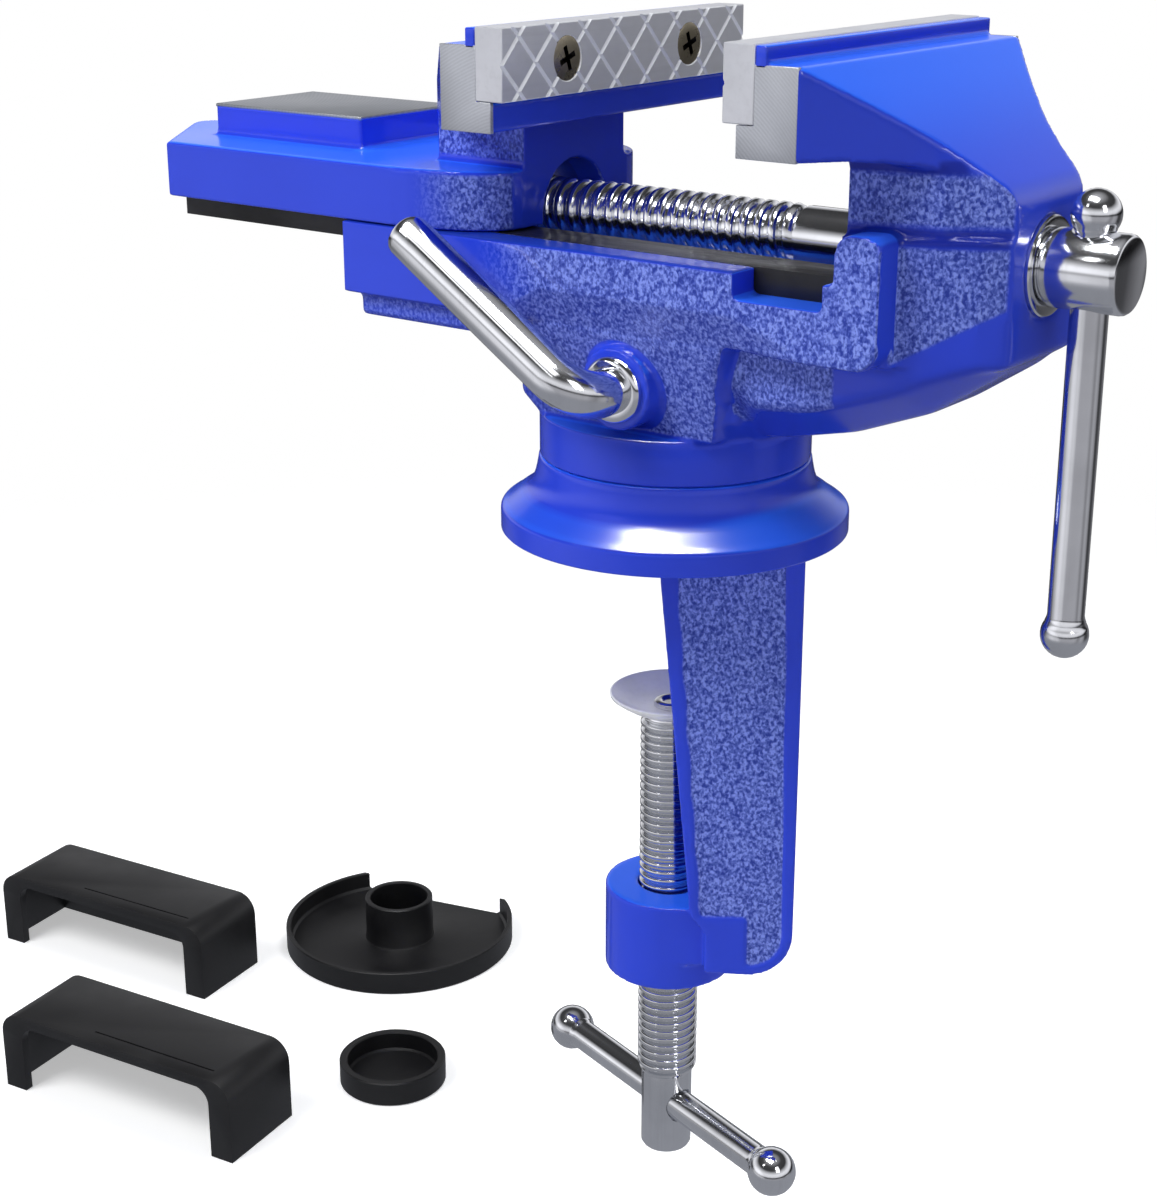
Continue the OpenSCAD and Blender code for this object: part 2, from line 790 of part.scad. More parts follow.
module moving_jaw_casting() {
    anvil_x = slide_back_x + anvil_back;
    keel_x = neck_x - nut_set - nut_len;
    neck_back_x = neck_x - neck_d;
    cavity_x1 = keel_x - keel_back_wall;
    color("royalblue")
        difference() {
            union() {
                // Deck, anvil and neck
                translate([0, 0, rail_z + slide_clear])
                    linear_extrude(height = deck_h - slide_clear)
                        slide_plan(0);
                translate([anvil_x, -anvil_w / 2, deck_z - over])
                    cube([anvil_len, anvil_w, anvil_h + over]);
                translate([neck_back_x, -neck_half, deck_z - over])
                    cube([neck_d, 2 * neck_half, head_rise - deck_h + 2 * over]);
                // Head, tapering to the neck
                intersection() {
                    translate([0, 0, head_z])
                        linear_extrude(height = head_h + plate_rise)
                            polygon([[moving_cast_x, -jaw_w / 2], [moving_cast_x - head_d, -jaw_w / 2],
                                [neck_back_x, -neck_half], [neck_back_x, neck_half],
                                [moving_cast_x - head_d, jaw_w / 2], [moving_cast_x, jaw_w / 2]]);
                    side_cut([[moving_cast_x, head_z - over], [moving_cast_x, shoulder_z],
                        [moving_cast_x - head_d, shoulder_z],
                        [neck_back_x - over, shoulder_z - head_h * neck_slope_share],
                        [neck_back_x - over, head_z - over]],
                        -jaw_w / 2, jaw_w / 2);
                }
                translate([moving_face_x - plate_t - slide_clear - lip_t, -jaw_w / 2, shoulder_z - over])
                    cube([lip_t, jaw_w, plate_rise + over - lip_drop]);
                // Keel that holds the nut, with a foot under the guide plate
                translate([keel_x, -keel_half, guide_z - slide_clear - keel_foot_h])
                    cube([keel_len, 2 * keel_half, guide_t + keel_foot_h + over]);
                translate([keel_x, -keel_foot_half, guide_z - slide_clear - keel_foot_h])
                    cube([keel_len, 2 * keel_foot_half, keel_foot_h]);
            }
            // Hollow under the deck, behind the keel
            difference() {
                translate([0, 0, rail_z - over])
                    linear_extrude(height = deck_h - jaw_roof + over)
                        slide_plan(jaw_wall);
                translate([cavity_x1, -rail_half, rail_z - 2 * over])
                    cube([slide_len, 2 * rail_half, deck_h + 2 * over]);
            }
            // Spindle's way through, the nut's bore and the mouth
            translate([slide_back_x + jaw_wall, 0, axis_z])
                rotate([0, 90, 0])
                    cylinder(h = slide_len, r = spindle_r + free_clear);
            translate([keel_x, 0, axis_z])
                rotate([0, 90, 0])
                    cylinder(h = slide_len, r = nut_r + run_clear);
            translate([keel_x + nut_len - nut_flange_t, 0, axis_z])
                rotate([0, 90, 0])
                    cylinder(h = slide_len, r = nut_flange_r + run_clear);
            // Nut pin's hole, up from the keel's foot
            translate([keel_x + keel_len / 3, 0, guide_z - slide_clear - keel_foot_h - over])
                cylinder(h = keel_foot_h + over, r = nut_pin_r + run_clear);
            translate([moving_face_x, 0, 0])
                plate_seat_cut();
        }
}

module rear_jaw_plate() {
    color("lightslategray")
        translate([moving_face_x, 0, 0])
            jaw_plate();
}

module rear_plate_screws() {
    color("goldenrod")
        translate([moving_face_x, 0, 0])
            plate_screws();
}

module spindle_nut() {
    keel_x = neck_x - nut_set - nut_len;
    color("peru")
        translate([keel_x, 0, axis_z])
            rotate([0, 90, 0])
                difference() {
                    union() {
                        cylinder(h = nut_len, r = nut_r);
                        translate([0, 0, nut_len - nut_flange_t])
                            cylinder(h = nut_flange_t, r = nut_flange_r);
                    }
                    translate([0, 0, -over])
                        cylinder(h = nut_len + 2 * over, r = spindle_r + run_clear);
                }
}

module nut_pin() {
    keel_x = neck_x - nut_set - nut_len;
    color("silver")
        translate([keel_x + keel_len / 3, 0, guide_z - slide_clear - keel_foot_h])
            cylinder(h = axis_z - nut_r - guide_z + keel_foot_h, r = nut_pin_r);
}

module spindle() {
    tail_x = neck_x - spindle_tail;
    thread_end_x = throat_x - thread_front_set;
    head_x = nose_x - ring_seat + ring_t + head_gap;
    handle_x = head_x + spindle_head_len / 2;
    color("lightgray")
        difference() {
            union() {
                translate([tail_x, 0, axis_z])
                    rotate([0, 90, 0])
                        thread_bar(spindle_r, thread_end_x - tail_x, spindle_pitch);
                translate([thread_end_x - over, 0, axis_z])
                    rotate([0, 90, 0])
                        cylinder(h = head_x - thread_end_x + 2 * over, r = shank_r);
                translate([head_x, 0, axis_z])
                    rotate([0, 90, 0])
                        round_bar(spindle_head_r, spindle_head_len, head_round);
            }
            translate([handle_x, 0, axis_z - spindle_head_r - over])
                cylinder(h = 2 * (spindle_head_r + over), r = handle_r + run_clear);
            // Pin's hole through the collar
            translate([nose_x - front_wall - collar_ring_t / 2 - slide_clear, 0, axis_z - spindle_r - over])
                cylinder(h = 2 * (spindle_r + over), r = collar_pin_r + run_clear);
        }
}

module retaining_collar() {
    color("gray")
        translate([nose_x - front_wall - collar_ring_t - slide_clear, 0, axis_z])
            difference() {
                rotate([0, 90, 0])
                    cylinder(h = collar_ring_t, r = collar_ring_r);
                translate([-over, 0, 0])
                    rotate([0, 90, 0])
                        cylinder(h = collar_ring_t + 2 * over, r = shank_r + run_clear);
                translate([collar_ring_t / 2, 0, -collar_ring_r - over])
                    cylinder(h = 2 * (collar_ring_r + over), r = collar_pin_r + run_clear);
            }
}

module collar_pin() {
    color("silver")
        translate([nose_x - front_wall - collar_ring_t / 2 - slide_clear, 0, axis_z - collar_ring_r + slide_clear])
            cylinder(h = 2 * (collar_ring_r - slide_clear), r = collar_pin_r);
}

function handle_at() = [nose_x - ring_seat + ring_t + head_gap + spindle_head_len / 2, 0,
    axis_z + spindle_head_r + sqrt(pow(handle_ball_r, 2) - pow(handle_r + run_clear, 2)) + slide_clear];

module handle_bar() {
    color("lightgray")
        translate(handle_at())
            translate([0, 0, -handle_len])
                cylinder(h = handle_len, r = handle_r);
}

module handle_balls() {
    color("lightgray")
        for (z = [0, -handle_len])
            translate(handle_at())
                translate([0, 0, z])
                    difference() {
                        sphere(handle_ball_r);
                        translate([0, 0, z == 0 ? -handle_ball_r - over : 0])
                            cylinder(h = handle_ball_r + over, r = handle_r);
                    }
}

module lock_lever() {
    shank_y = post_r - groove_in + lock_tip_gap + lock_pad_len;
    color("lightgray")
        translate([lock_x, 0, lock_z]) {
            // Screw shank through the boss
            translate([0, -lock_face_y - washer_t, 0])
                rotate([-90, 0, 0])
                    cylinder(h = lock_face_y + washer_t - shank_y, r = lock_pad_r);
            // Core that joins the shank to the rod
            translate([0, -lock_face_y - lever_out + bend_r + over, 0])
                rotate([-90, 0, 0])
                    cylinder(h = lever_out - bend_r, r = lock_pad_r);
            // Rod out of the boss, its bend and its arm
            rotate([0, 180 + lever_lean, 0]) {
                translate([0, -lock_face_y - lever_out + bend_r, 0])
                    rotate([-90, 0, 0])
                        cylinder(h = lever_out - bend_r - washer_t, r = lever_r);
                translate([bend_r, -lock_face_y - lever_out + bend_r, 0])
                    rotate([0, 0, 180])
                        rotate_extrude(angle = 90)
                            translate([bend_r, 0])
                                circle(lever_r, $fn = 48);
                translate([bend_r, -lock_face_y - lever_out, 0])
                    rotate([0, 90, 0])
                        rotate_extrude()
                            polygon(concat([[0, 0], [lever_r, 0]],
                                arc(lever_r - tip_round, lever_len - bend_r - tip_round, tip_round, 0, 90, 6),
                                [[0, lever_len - bend_r]]));
            }
        }
}

module lock_washer() {
    color("gainsboro")
        translate([lock_x, -lock_face_y - washer_t, lock_z])
            rotate([-90, 0, 0])
                difference() {
                    cylinder(h = washer_t, r = washer_r);
                    translate([0, 0, -over])
                        cylinder(h = washer_t + 2 * over, r = lock_pad_r + run_clear);
                }
}

module clamp_disc() {
    dish_z = -disc_drop - disc_dish;
    bend_z = dish_z + disc_dish * disc_bend_share;
    color("silver")
        rotate_extrude($fn = 96)
            polygon([[rivet_r + run_clear, dish_z], [disc_flat_r, dish_z], [disc_r * disc_side_share, bend_z],
                [disc_r, -disc_drop], [disc_r, -disc_drop - disc_t * disc_edge_share],
                [disc_r * disc_under_share, bend_z - disc_t], [disc_flat_r, dish_z - disc_t],
                [rivet_r + run_clear, dish_z - disc_t]]);
}

module clamp_screw() {
    top_z = -disc_drop - disc_dish - disc_t - slide_clear;
    thread_len = clamp_len - clamp_end_len - slide_clear;
    color("lightgray")
        difference() {
            union() {
                translate([0, 0, top_z - thread_len])
                    thread_bar(clamp_r, thread_len, clamp_pitch);
                translate([0, 0, top_z - over])
                    cylinder(h = disc_t + 2 * slide_clear + over, r = rivet_r);
                translate([0, 0, screw_end_z])
                    round_bar(clamp_end_r, clamp_end_len + over, head_round);
            }
            translate([0, 0, bar_z])
                rotate([0, 90, clamp_bar_turn])
                    translate([0, 0, -clamp_r - over])
                        cylinder(h = 2 * (clamp_r + over), r = clamp_bar_r + run_clear);
        }
}

module disc_rivet() {
    head_z0 = -disc_drop - disc_dish + slide_clear;
    color("silver")
        translate([0, 0, head_z0])
            difference() {
                cylinder(h = rivet_head_t, r = rivet_head_r);
                translate([0, 0, rivet_head_t / 2])
                    cylinder(h = rivet_head_t, r = rivet_r * rivet_dimple_share);
            }
}

module clamp_bar() {
    color("lightgray")
        translate([0, 0, bar_z])
            rotate([0, 90, clamp_bar_turn])
                translate([0, 0, -clamp_bar_len / 2])
                    cylinder(h = clamp_bar_len, r = clamp_bar_r);
}

module clamp_bar_ends() {
    color("lightgray")
        translate([0, 0, bar_z])
            rotate([0, 90, clamp_bar_turn])
                for (side = [-1, 1])
                    translate([0, 0, side * clamp_bar_len / 2])
                        difference() {
                            sphere(clamp_ball_r);
                            translate([0, 0, side > 0 ? -clamp_ball_r - over : 0])
                                cylinder(h = clamp_ball_r + over, r = clamp_bar_r);
                        }
}

// A cover's cross-section along the jaw, with rounded upper corners
function cover_outline(x0, x1, z0, z1, r) = concat(
    [[x0, z0]],
    arc(x0 + r, z1 - r, r, 180, 90, 8),
    arc(x1 - r, z1 - r, r, 90, 0, 8),
    [[x1, z0]]);

// A soft cover for one jaw: top, back, ends and two narrow front lips
module jaw_cover() {
    cover_len = jaw_w + 2 * pad_t + free_clear * 2;
    inner_r = cover_round - pad_t;
    difference() {
        side_cut(cover_outline(0, cover_len, 0, cover_h, cover_round), 0, cover_d);
        side_cut(cover_outline(pad_t, cover_len - pad_t, -over, cover_h - pad_t, inner_r),
            cover_lip_t, cover_d - pad_t);
        // Arched opening in the front
        side_cut(cover_outline(cover_lip, cover_len - cover_lip, -over, cover_h - 2 * pad_t, inner_r),
            -over, cover_lip_t + over);
    }
}

module jaw_cover_near() {
    color(pad_colour)
        translate([cover_near_at[0], cover_near_at[1], pads_z])
            rotate([0, 0, cover_turn])
                jaw_cover();
}

module jaw_cover_far() {
    color(pad_colour)
        translate([cover_far_at[0], cover_far_at[1], pads_z])
            rotate([0, 0, cover_turn])
                jaw_cover();
}

module base_pad() {
    out_r = flange_r + free_clear + pad_t;
    hub_r = hub_bore_r - free_clear;
    color(pad_colour)
        translate([base_pad_at[0], base_pad_at[1], pads_z])
            difference() {
                union() {
                    difference() {
                        cylinder(h = dish_h, r = out_r, $fn = 96);
                        translate([0, 0, dish_floor_t])
                            cylinder(h = dish_h, r = out_r - pad_t, $fn = 96);
                    }
                    cylinder(h = hub_h, r = hub_r);
                }
                translate([0, 0, dish_floor_t])
                    cylinder(h = hub_h, r = hub_r - hub_wall);
                // Chord cut at the back
                rotate([0, 0, dish_turn])
                    translate([-out_r - over, dish_chord, -over])
                        cube([2 * (out_r + over), out_r, dish_h + 2 * over]);
            }
}

module disc_cap() {
    out_r = disc_r + seat_clear + cap_wall;
    color(pad_colour)
        translate([cap_at[0], cap_at[1], pads_z])
            difference() {
                cylinder(h = cap_h, r = out_r, $fn = 96);
                translate([0, 0, dish_floor_t])
                    cylinder(h = cap_h, r = out_r - cap_wall, $fn = 96);
            }
}

swivel_base();
clamp_arm();
body_casting();
guide_plate();
guide_screws();
front_jaw_plate();
front_plate_screws();
front_ring();
lock_pad();
moving_jaw_casting();
rear_jaw_plate();
rear_plate_screws();
spindle_nut();
nut_pin();
spindle();
retaining_collar();
collar_pin();
handle_bar();
handle_balls();
lock_lever();
lock_washer();
clamp_disc();
clamp_screw();
disc_rivet();
clamp_bar();
clamp_bar_ends();
jaw_cover_near();
jaw_cover_far();
base_pad();
disc_cap();
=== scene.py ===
import math
from contextlib import contextmanager

import bmesh
import bpy
from mathutils import Matrix, Vector
from mathutils.bvhtree import BVHTree


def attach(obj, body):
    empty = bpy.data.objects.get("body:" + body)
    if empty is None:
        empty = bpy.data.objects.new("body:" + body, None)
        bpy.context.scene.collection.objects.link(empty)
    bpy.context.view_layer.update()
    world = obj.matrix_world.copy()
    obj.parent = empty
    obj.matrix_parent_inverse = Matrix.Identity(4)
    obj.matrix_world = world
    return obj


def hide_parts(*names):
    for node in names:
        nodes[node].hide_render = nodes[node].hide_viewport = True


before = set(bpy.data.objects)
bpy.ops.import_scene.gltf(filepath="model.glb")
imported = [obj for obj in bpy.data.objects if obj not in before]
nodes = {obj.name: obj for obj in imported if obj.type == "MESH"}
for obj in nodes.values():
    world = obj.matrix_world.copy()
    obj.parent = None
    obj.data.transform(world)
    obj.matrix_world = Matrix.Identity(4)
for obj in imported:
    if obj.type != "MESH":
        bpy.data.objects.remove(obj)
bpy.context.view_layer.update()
scene = bpy.context.scene
MM = 0.001
X, Y, Z = (1, 0, 0), (0, 1, 0), (0, 0, 1)
CORNERS = ((-1, -1), (1, -1), (1, 1), (-1, 1))

# Levels, stations and sizes of the CAD model in millimetres, and turns in degrees
AXIS_Z = 58.6
SPINDLE = (0, 0, AXIS_Z)
HEAD_Z = 77.1
SHOULDER_Z = 91.9
ANVIL_Z = 74.2
JAW_HALF = 37.5
FIXED_X = 34.1
MOVING_X = -11.1
PLATE_T = 6
PLATE_Z = 82.5
PLATE_H = 12.6
PLATE_MID = PLATE_Z + PLATE_H / 2
SCREW_Y = 19
HEAD_D = 11.3
SEAT_D = 3.3
THROAT_X = 48.5
SPINDLE_HEAD_X = 75.6
CROSS_BORE_X = SPINDLE_HEAD_X + 6.75
FLOOR_Z = -202
ARM_TURN = 31
BAR_TURN = -17
CLAMP_BORE = (0, 0, -127.7)
LEVER_AT = (4.5, 0, 32.3)


# Small helpers for meshes

def link(obj):
    scene.collection.objects.link(obj)
    return obj


def make(name, verts, faces):
    """A mesh object from points in millimetres."""
    mesh = bpy.data.meshes.new(name)
    mesh.from_pydata([tuple(c * MM for c in v) for v in verts], [], faces)
    mesh.update()
    return link(bpy.data.objects.new(name, mesh))


@contextmanager
def editing(obj):
    """The object's mesh as a bmesh, which is written back at the end."""
    bm = bmesh.new()
    bm.from_mesh(obj.data)
    yield bm
    bm.to_mesh(obj.data)
    bm.free()


def clean(obj, merge=1e-6):
    with editing(obj) as bm:
        bmesh.ops.remove_doubles(bm, verts=bm.verts, dist=merge)
        bmesh.ops.dissolve_degenerate(bm, edges=bm.edges, dist=merge)
        bmesh.ops.recalc_face_normals(bm, faces=bm.faces)
    return obj


def modify(obj, kind, **values):
    """Adds a modifier with its values."""
    mod = obj.modifiers.new(kind.lower(), kind)
    for key, value in values.items():
        setattr(mod, key, value)


def apply_modifiers(obj):
    """Puts what the modifiers make into the piece's own mesh."""
    bpy.context.view_layer.update()
    graph = bpy.context.evaluated_depsgraph_get()
    mesh = bpy.data.meshes.new_from_object(obj.evaluated_get(graph), depsgraph=graph)
    old = obj.data
    obj.modifiers.clear()
    obj.data = mesh
    mesh.name = obj.name
    bpy.data.meshes.remove(old)
    return obj


def smooth_all(obj):
    obj.data.polygons.foreach_set("use_smooth", [True] * len(obj.data.polygons))


def shade(obj, angle):
    """Smooth shading that keeps edges sharper than the angle."""
    smooth_all(obj)
    limit = math.radians(angle)
    with editing(obj) as bm:
        for e in bm.edges:
            e.smooth = len(e.link_faces) == 2 and e.calc_face_angle(0) < limit
    return obj


def cut(obj, other):
    """Takes one solid out of another."""
    modify(obj, "BOOLEAN", operation="DIFFERENCE", solver="EXACT", object=other)
    apply_modifiers(obj)
    bpy.data.objects.remove(other)
    return obj


def bevel(obj, width, segments=2, angle=30):
    modify(obj, "BEVEL", width=width * MM, segments=segments, limit_method="ANGLE",
           angle_limit=math.radians(angle))
    return apply_modifiers(obj)


def arc(cx, cy, r, start, end):
    """Nine points of a circle between two angles, in degrees."""
    angles = [math.radians(start + (end - start) * i / 8) for i in range(9)]
    return [(cx + r * math.cos(a), cy + r * math.sin(a)) for a in angles]


def around(steps):
    """Even angles once round."""
    return [2 * math.pi * i / steps for i in range(steps)]


def axes(direction):
    """A frame whose Z runs along the direction."""
    z = Vector(direction).normalized()
    side = Vector(Z) if abs(z.z) < 0.9 else Vector(X)
    x = side.cross(z).normalized()
    y = z.cross(x)
    return Matrix((x, y, z)).transposed()


def skin(name, rings, angle):
    """A surface over rings of points; a ring of one point closes an end."""
    verts, faces = [], []
    for low, high in zip(rings, rings[1:]):
        a, b = len(verts), len(verts) + len(low)
        verts += low
        steps = max(len(low), len(high))
        for i in range(steps):
            j = (i + 1) % steps
            corners = (a + i % len(low), a + j % len(low), b + j % len(high), b + i % len(high))
            faces.append(tuple(dict.fromkeys(corners)))
    verts += rings[-1]
    return shade(clean(make(name, verts, faces)), angle)


def lathe(name, profile, origin=(0, 0, 0), direction=Z, steps=96, angle=35):
    """Turns (radius, height) points round an axis.

    Radius 0 closes an end; a profile that ends where it starts makes a closed ring.
    """
    rot = axes(direction)
    at = Vector(origin)
    rings = []
    for r, h in profile:
        local = [(r * math.cos(a), r * math.sin(a), h) for a in around(steps)] if r else [(0, 0, h)]
        rings.append([at + rot @ Vector(point) for point in local])
    return skin(name, rings, angle)


def tube(name, path, radii):
    """A round sweep along a path; radius 0 closes an end."""
    last = len(path) - 1
    tangents = [(path[min(i + 1, last)] - path[max(i - 1, 0)]).normalized() for i in range(last + 1)]
    side = tangents[0].orthogonal().normalized()
    rings = []
    for point, tangent, radius in zip(path, tangents, radii):
        side = (side - tangent * side.dot(tangent)).normalized()
        up = tangent.cross(side)
        rings.append([point + (side * math.cos(a) + up * math.sin(a)) * radius
                      for a in around(40)] if radius else [point])
    return skin(name, rings, 60)


# One turn of a thread: shares of the turn, and of the thread's height there
THREAD_SHAPE = [(0.00, 0), (0.07, 0.3), (0.15, 0.84), (0.22, 1), (0.52, 1), (0.6, 0.84),
                (0.68, 0.3), (0.75, 0)]


def threaded(name, origin, direction, r, depth, pitch, start, end, steps=72):
    """A right-handed thread as a closed solid along its own axis."""
    rot = axes(direction)
    at = Vector(origin)
    turns = int((end - start) / pitch) + 2
    rows = [(turn + share, k) for turn in range(-1, turns) for share, k in THREAD_SHAPE]
    fade = 0.9 * pitch
    verts, faces = [], []
    for turn, k in rows:
        for i, a in enumerate(around(steps)):
            h = min(max(start + pitch * (turn + i / steps), start), end)
            grow = min(1, max(0, min(h - start, end - h) / fade))
            radius = r - depth + depth * k * grow
            verts.append(at + rot @ Vector((radius * math.cos(a), radius * math.sin(a), h)))
    per_turn = len(THREAD_SHAPE)
    for row in range(len(rows) - 1):
        low, high = row * steps, (row + 1) * steps
        faces += [(low + i, low + i + 1, high + i + 1, high + i) for i in range(steps - 1)]
        if row + 1 + per_turn < len(rows):
            faces.append((low + steps - 1, low + per_turn * steps, high + per_turn * steps,
                          high + steps - 1))
    obj = make(name, verts, faces)
    with editing(obj) as bm:
        bmesh.ops.remove_doubles(bm, verts=bm.verts, dist=1e-6)
        bmesh.ops.dissolve_degenerate(bm, edges=bm.edges, dist=2e-6)
        loose = [v for v in bm.verts if not v.link_faces]
        bmesh.ops.delete(bm, geom=loose, context="VERTS")
        bmesh.ops.holes_fill(bm, edges=[e for e in bm.edges if e.is_boundary], sides=0)
        bmesh.ops.recalc_face_normals(bm, faces=bm.faces)
    return shade(obj, 50)


def prism(name, points, z0, z1, turn=None):
    """A closed outline drawn up from z0 to z1; turn maps its points into place."""
    n = len(points)
    verts = [(x, y, z) for z in (z0, z1) for x, y in points]
    faces = [tuple(range(n - 1, -1, -1)), tuple(range(n, 2 * n))]
    faces += [(i, (i + 1) % n, n + (i + 1) % n, n + i) for i in range(n)]
    if turn is not None:
        verts = [turn @ Vector(v) for v in verts]
    return clean(make(name, verts, faces))


def upright(name, points, low, high):
    """A closed outline in X and Z, drawn along Y from low to high."""
    return prism(name, points, -high, -low, Matrix(((1, 0, 0), (0, 0, -1), (0, 1, 0))))


def slab(name, low, high, edge, segments=2):
    """A box between two corners, with rounded edges."""
    outline = [(low[0], low[1]), (high[0], low[1]), (high[0], high[1]), (low[0], high[1])]
    return shade(bevel(prism(name, outline, low[2], high[2]), edge, segments), 60)


def loft(name, sections):
    """A closed solid through sections that have the same number of points."""
    size, faces = len(sections[0]), []
    last = size * (len(sections) - 1)
    for start in range(0, last, size):
        for k in range(size):
            a, b = start + k, start + (k + 1) % size
            faces.append((a, b, b + size, a + size))
    faces += [tuple(range(size - 1, -1, -1)), tuple(range(last, last + size))]
    return clean(make(name, [point for section in sections for point in section], faces))


def place(obj, at, turn):
    """Turns a piece's points about Z, in degrees, and moves them, in millimetres."""
    way = Matrix.Translation(Vector(at)) @ Matrix.Rotation(math.radians(turn), 4, "Z")
    for vertex in obj.data.vertices:
        vertex.co = (way @ (vertex.co / MM)) * MM
    return obj


def copy_node(node, name):
    """A welded copy of a CAD node, for a piece that takes its place."""
    obj = link(bpy.data.objects.new(name, nodes[node].data.copy()))
    obj.data.name = name
    obj.data.materials.clear()
    normals = obj.data.attributes.get("custom_normal")
    if normals is not None:
        obj.data.attributes.remove(normals)
    return clean(obj, 2e-6)


def join(obj, *others):
    """Puts the other solids' faces into the first, for the voxels to fuse."""
    with editing(obj) as bm:
        for other in others:
            bm.from_mesh(other.data)
            bpy.data.objects.remove(other)


# Rounding of castings

VOXEL = 0.5
FLAT_LEAST = 60
FLAT_NEAR = 0.05


def flat_regions(bm):
    """The faces of a mesh that lie in one flat area larger than FLAT_LEAST, in mm2."""
    seen, flat = set(), set()
    for first in bm.faces:
        if first.index in seen:
            continue
        seen.add(first.index)
        region, todo, area = [], [first], 0
        while todo:
            face = todo.pop()
            region.append(face.index)
            area += face.calc_area()
            for edge in face.edges:
                for other in edge.link_faces:
                    if other.index not in seen and other.normal.dot(first.normal) > 0.99999:
                        seen.add(other.index)
                        todo.append(other)
        if area > FLAT_LEAST * MM * MM:
            flat.update(region)
    return flat


def soften(obj, test, rounds):
    """Smooths the points that pass a test in millimetres, and gives their indices."""
    chosen = [v.index for v in obj.data.vertices if test(*(c / MM for c in v.co))]
    group = obj.vertex_groups.new(name="soften")
    group.add(chosen, 1, "REPLACE")
    modify(obj, "SMOOTH", factor=0.5, iterations=rounds, vertex_group=group.name)
    apply_modifiers(obj)
    obj.vertex_groups.clear()
    return set(chosen)


def cast(obj, rounds, keep, soft=None):
    """Rounds every edge and corner of a solid the way a casting is rounded.

    It takes so many rounds of smoothing, and keeps a share of the faces. Flat areas are laid
    back on the solid's own planes; soft holds a test on a point in millimetres and the rounds
    of smoothing that points passing it get.
    """
    source = bmesh.new()
    source.from_mesh(obj.data)
    bmesh.ops.triangulate(source, faces=source.faces)
    source.faces.ensure_lookup_table()
    flat = flat_regions(source)
    tree = BVHTree.FromBMesh(source)
    source.free()
    modify(obj, "REMESH", mode="VOXEL", voxel_size=VOXEL * MM)
    modify(obj, "SMOOTH", factor=0.5, iterations=rounds)
    apply_modifiers(obj)
    softened = soften(obj, *soft) if soft else set()
    for vertex in obj.data.vertices:
        if vertex.index in softened:
            continue
        point, _, face, far = tree.find_nearest(vertex.co)
        if face in flat and far < 2 * FLAT_NEAR * MM:
            share = min(1, 2 - far / (FLAT_NEAR * MM))
            vertex.co = vertex.co.lerp(point, share * share * (3 - 2 * share))
    modify(obj, "DECIMATE", ratio=keep)
    modify(obj, "WEIGHTED_NORMAL", keep_sharp=False, weight=90)
    smooth_all(obj)
    return apply_modifiers(obj)


# Materials

class Nodes:
    """A tree of shader nodes, built call by call."""

    def __init__(self, tree):
        self.tree = tree

    def add(self, kind, links=None, **values):
        """A node with its properties, and its inputs filled or linked."""
        node = self.tree.nodes.new(kind)
        for key, value in values.items():
            setattr(node, key, value)
        for key, value in (links or {}).items():
            self.put(node.inputs[key], value)
        return node

    def put(self, socket, value):
        if isinstance(value, bpy.types.NodeSocket):
            self.tree.links.new(value, socket)
        else:
            socket.default_value = value

    def math(self, operation, a, b=0, clamp=False):
        return self.add("ShaderNodeMath", {0: a, 1: b}, operation=operation, use_clamp=clamp).outputs[0]

    def times(self, *values):
        total = values[0]
        for value in values[1:]:
            total = self.math("MULTIPLY", total, value)
        return total

    def less(self, value, share, amount):
        """A value lowered by a share of an amount, not below 0."""
        return self.math("SUBTRACT", value, self.times(share, amount), clamp=True)

    def either(self, *values):
        """The largest of some shares."""
        total = values[0]
        for value in values[1:]:
            total = self.math("MAXIMUM", total, value)
        return total

    def vector(self, operation, a, b=(0, 0, 0)):
        node = self.add("ShaderNodeVectorMath", {0: a, 1: b}, operation=operation)
        return node.outputs["Value" if operation in ("LENGTH", "DOT_PRODUCT") else "Vector"]

    def span(self, value, low, high, out_low=0, out_high=1):
        """A smooth change from out_low to out_high as the value goes from low to high."""
        node = self.add("ShaderNodeMapRange", {"Value": value, "From Min": low, "From Max": high,
                                               "To Min": out_low, "To Max": out_high},
                        interpolation_type="SMOOTHSTEP")
        return node.outputs["Result"]

    def ramp(self, value, stops):
        node = self.add("ShaderNodeValToRGB", {"Fac": value})
        elements = node.color_ramp.elements
        while len(elements) < len(stops):
            elements.new(0.5)
        for element, (at, colour) in zip(elements, stops):
            element.position = at
            element.color = colour + (1,)
        return node.outputs["Color"]

    def mix(self, share, a, b, blend="MIX"):
        a, b = (value + (1,) if isinstance(value, tuple) else value for value in (a, b))
        node = self.add("ShaderNodeMix", {0: share, 6: a, 7: b}, data_type="RGBA", blend_type=blend)
        return node.outputs[2]

    def glow(self, kind, colour, strength):
        """A shader that sends out light, or a world's background."""
        return self.add(kind, {"Color": colour, "Strength": strength}).outputs[0]

    def mix_shader(self, share, a, b):
        return self.add("ShaderNodeMixShader", {0: share, 1: a, 2: b}).outputs[0]

    def output(self, kind, shader):
        """Links a shader to the surface of the tree's own output."""
        self.put(self.tree.nodes[kind + " Output"].inputs["Surface"], shader)

    def ray(self, kind):
        """1 for rays of one kind, 0 for the rest."""
        return self.add("ShaderNodeLightPath").outputs["Is " + kind + " Ray"]


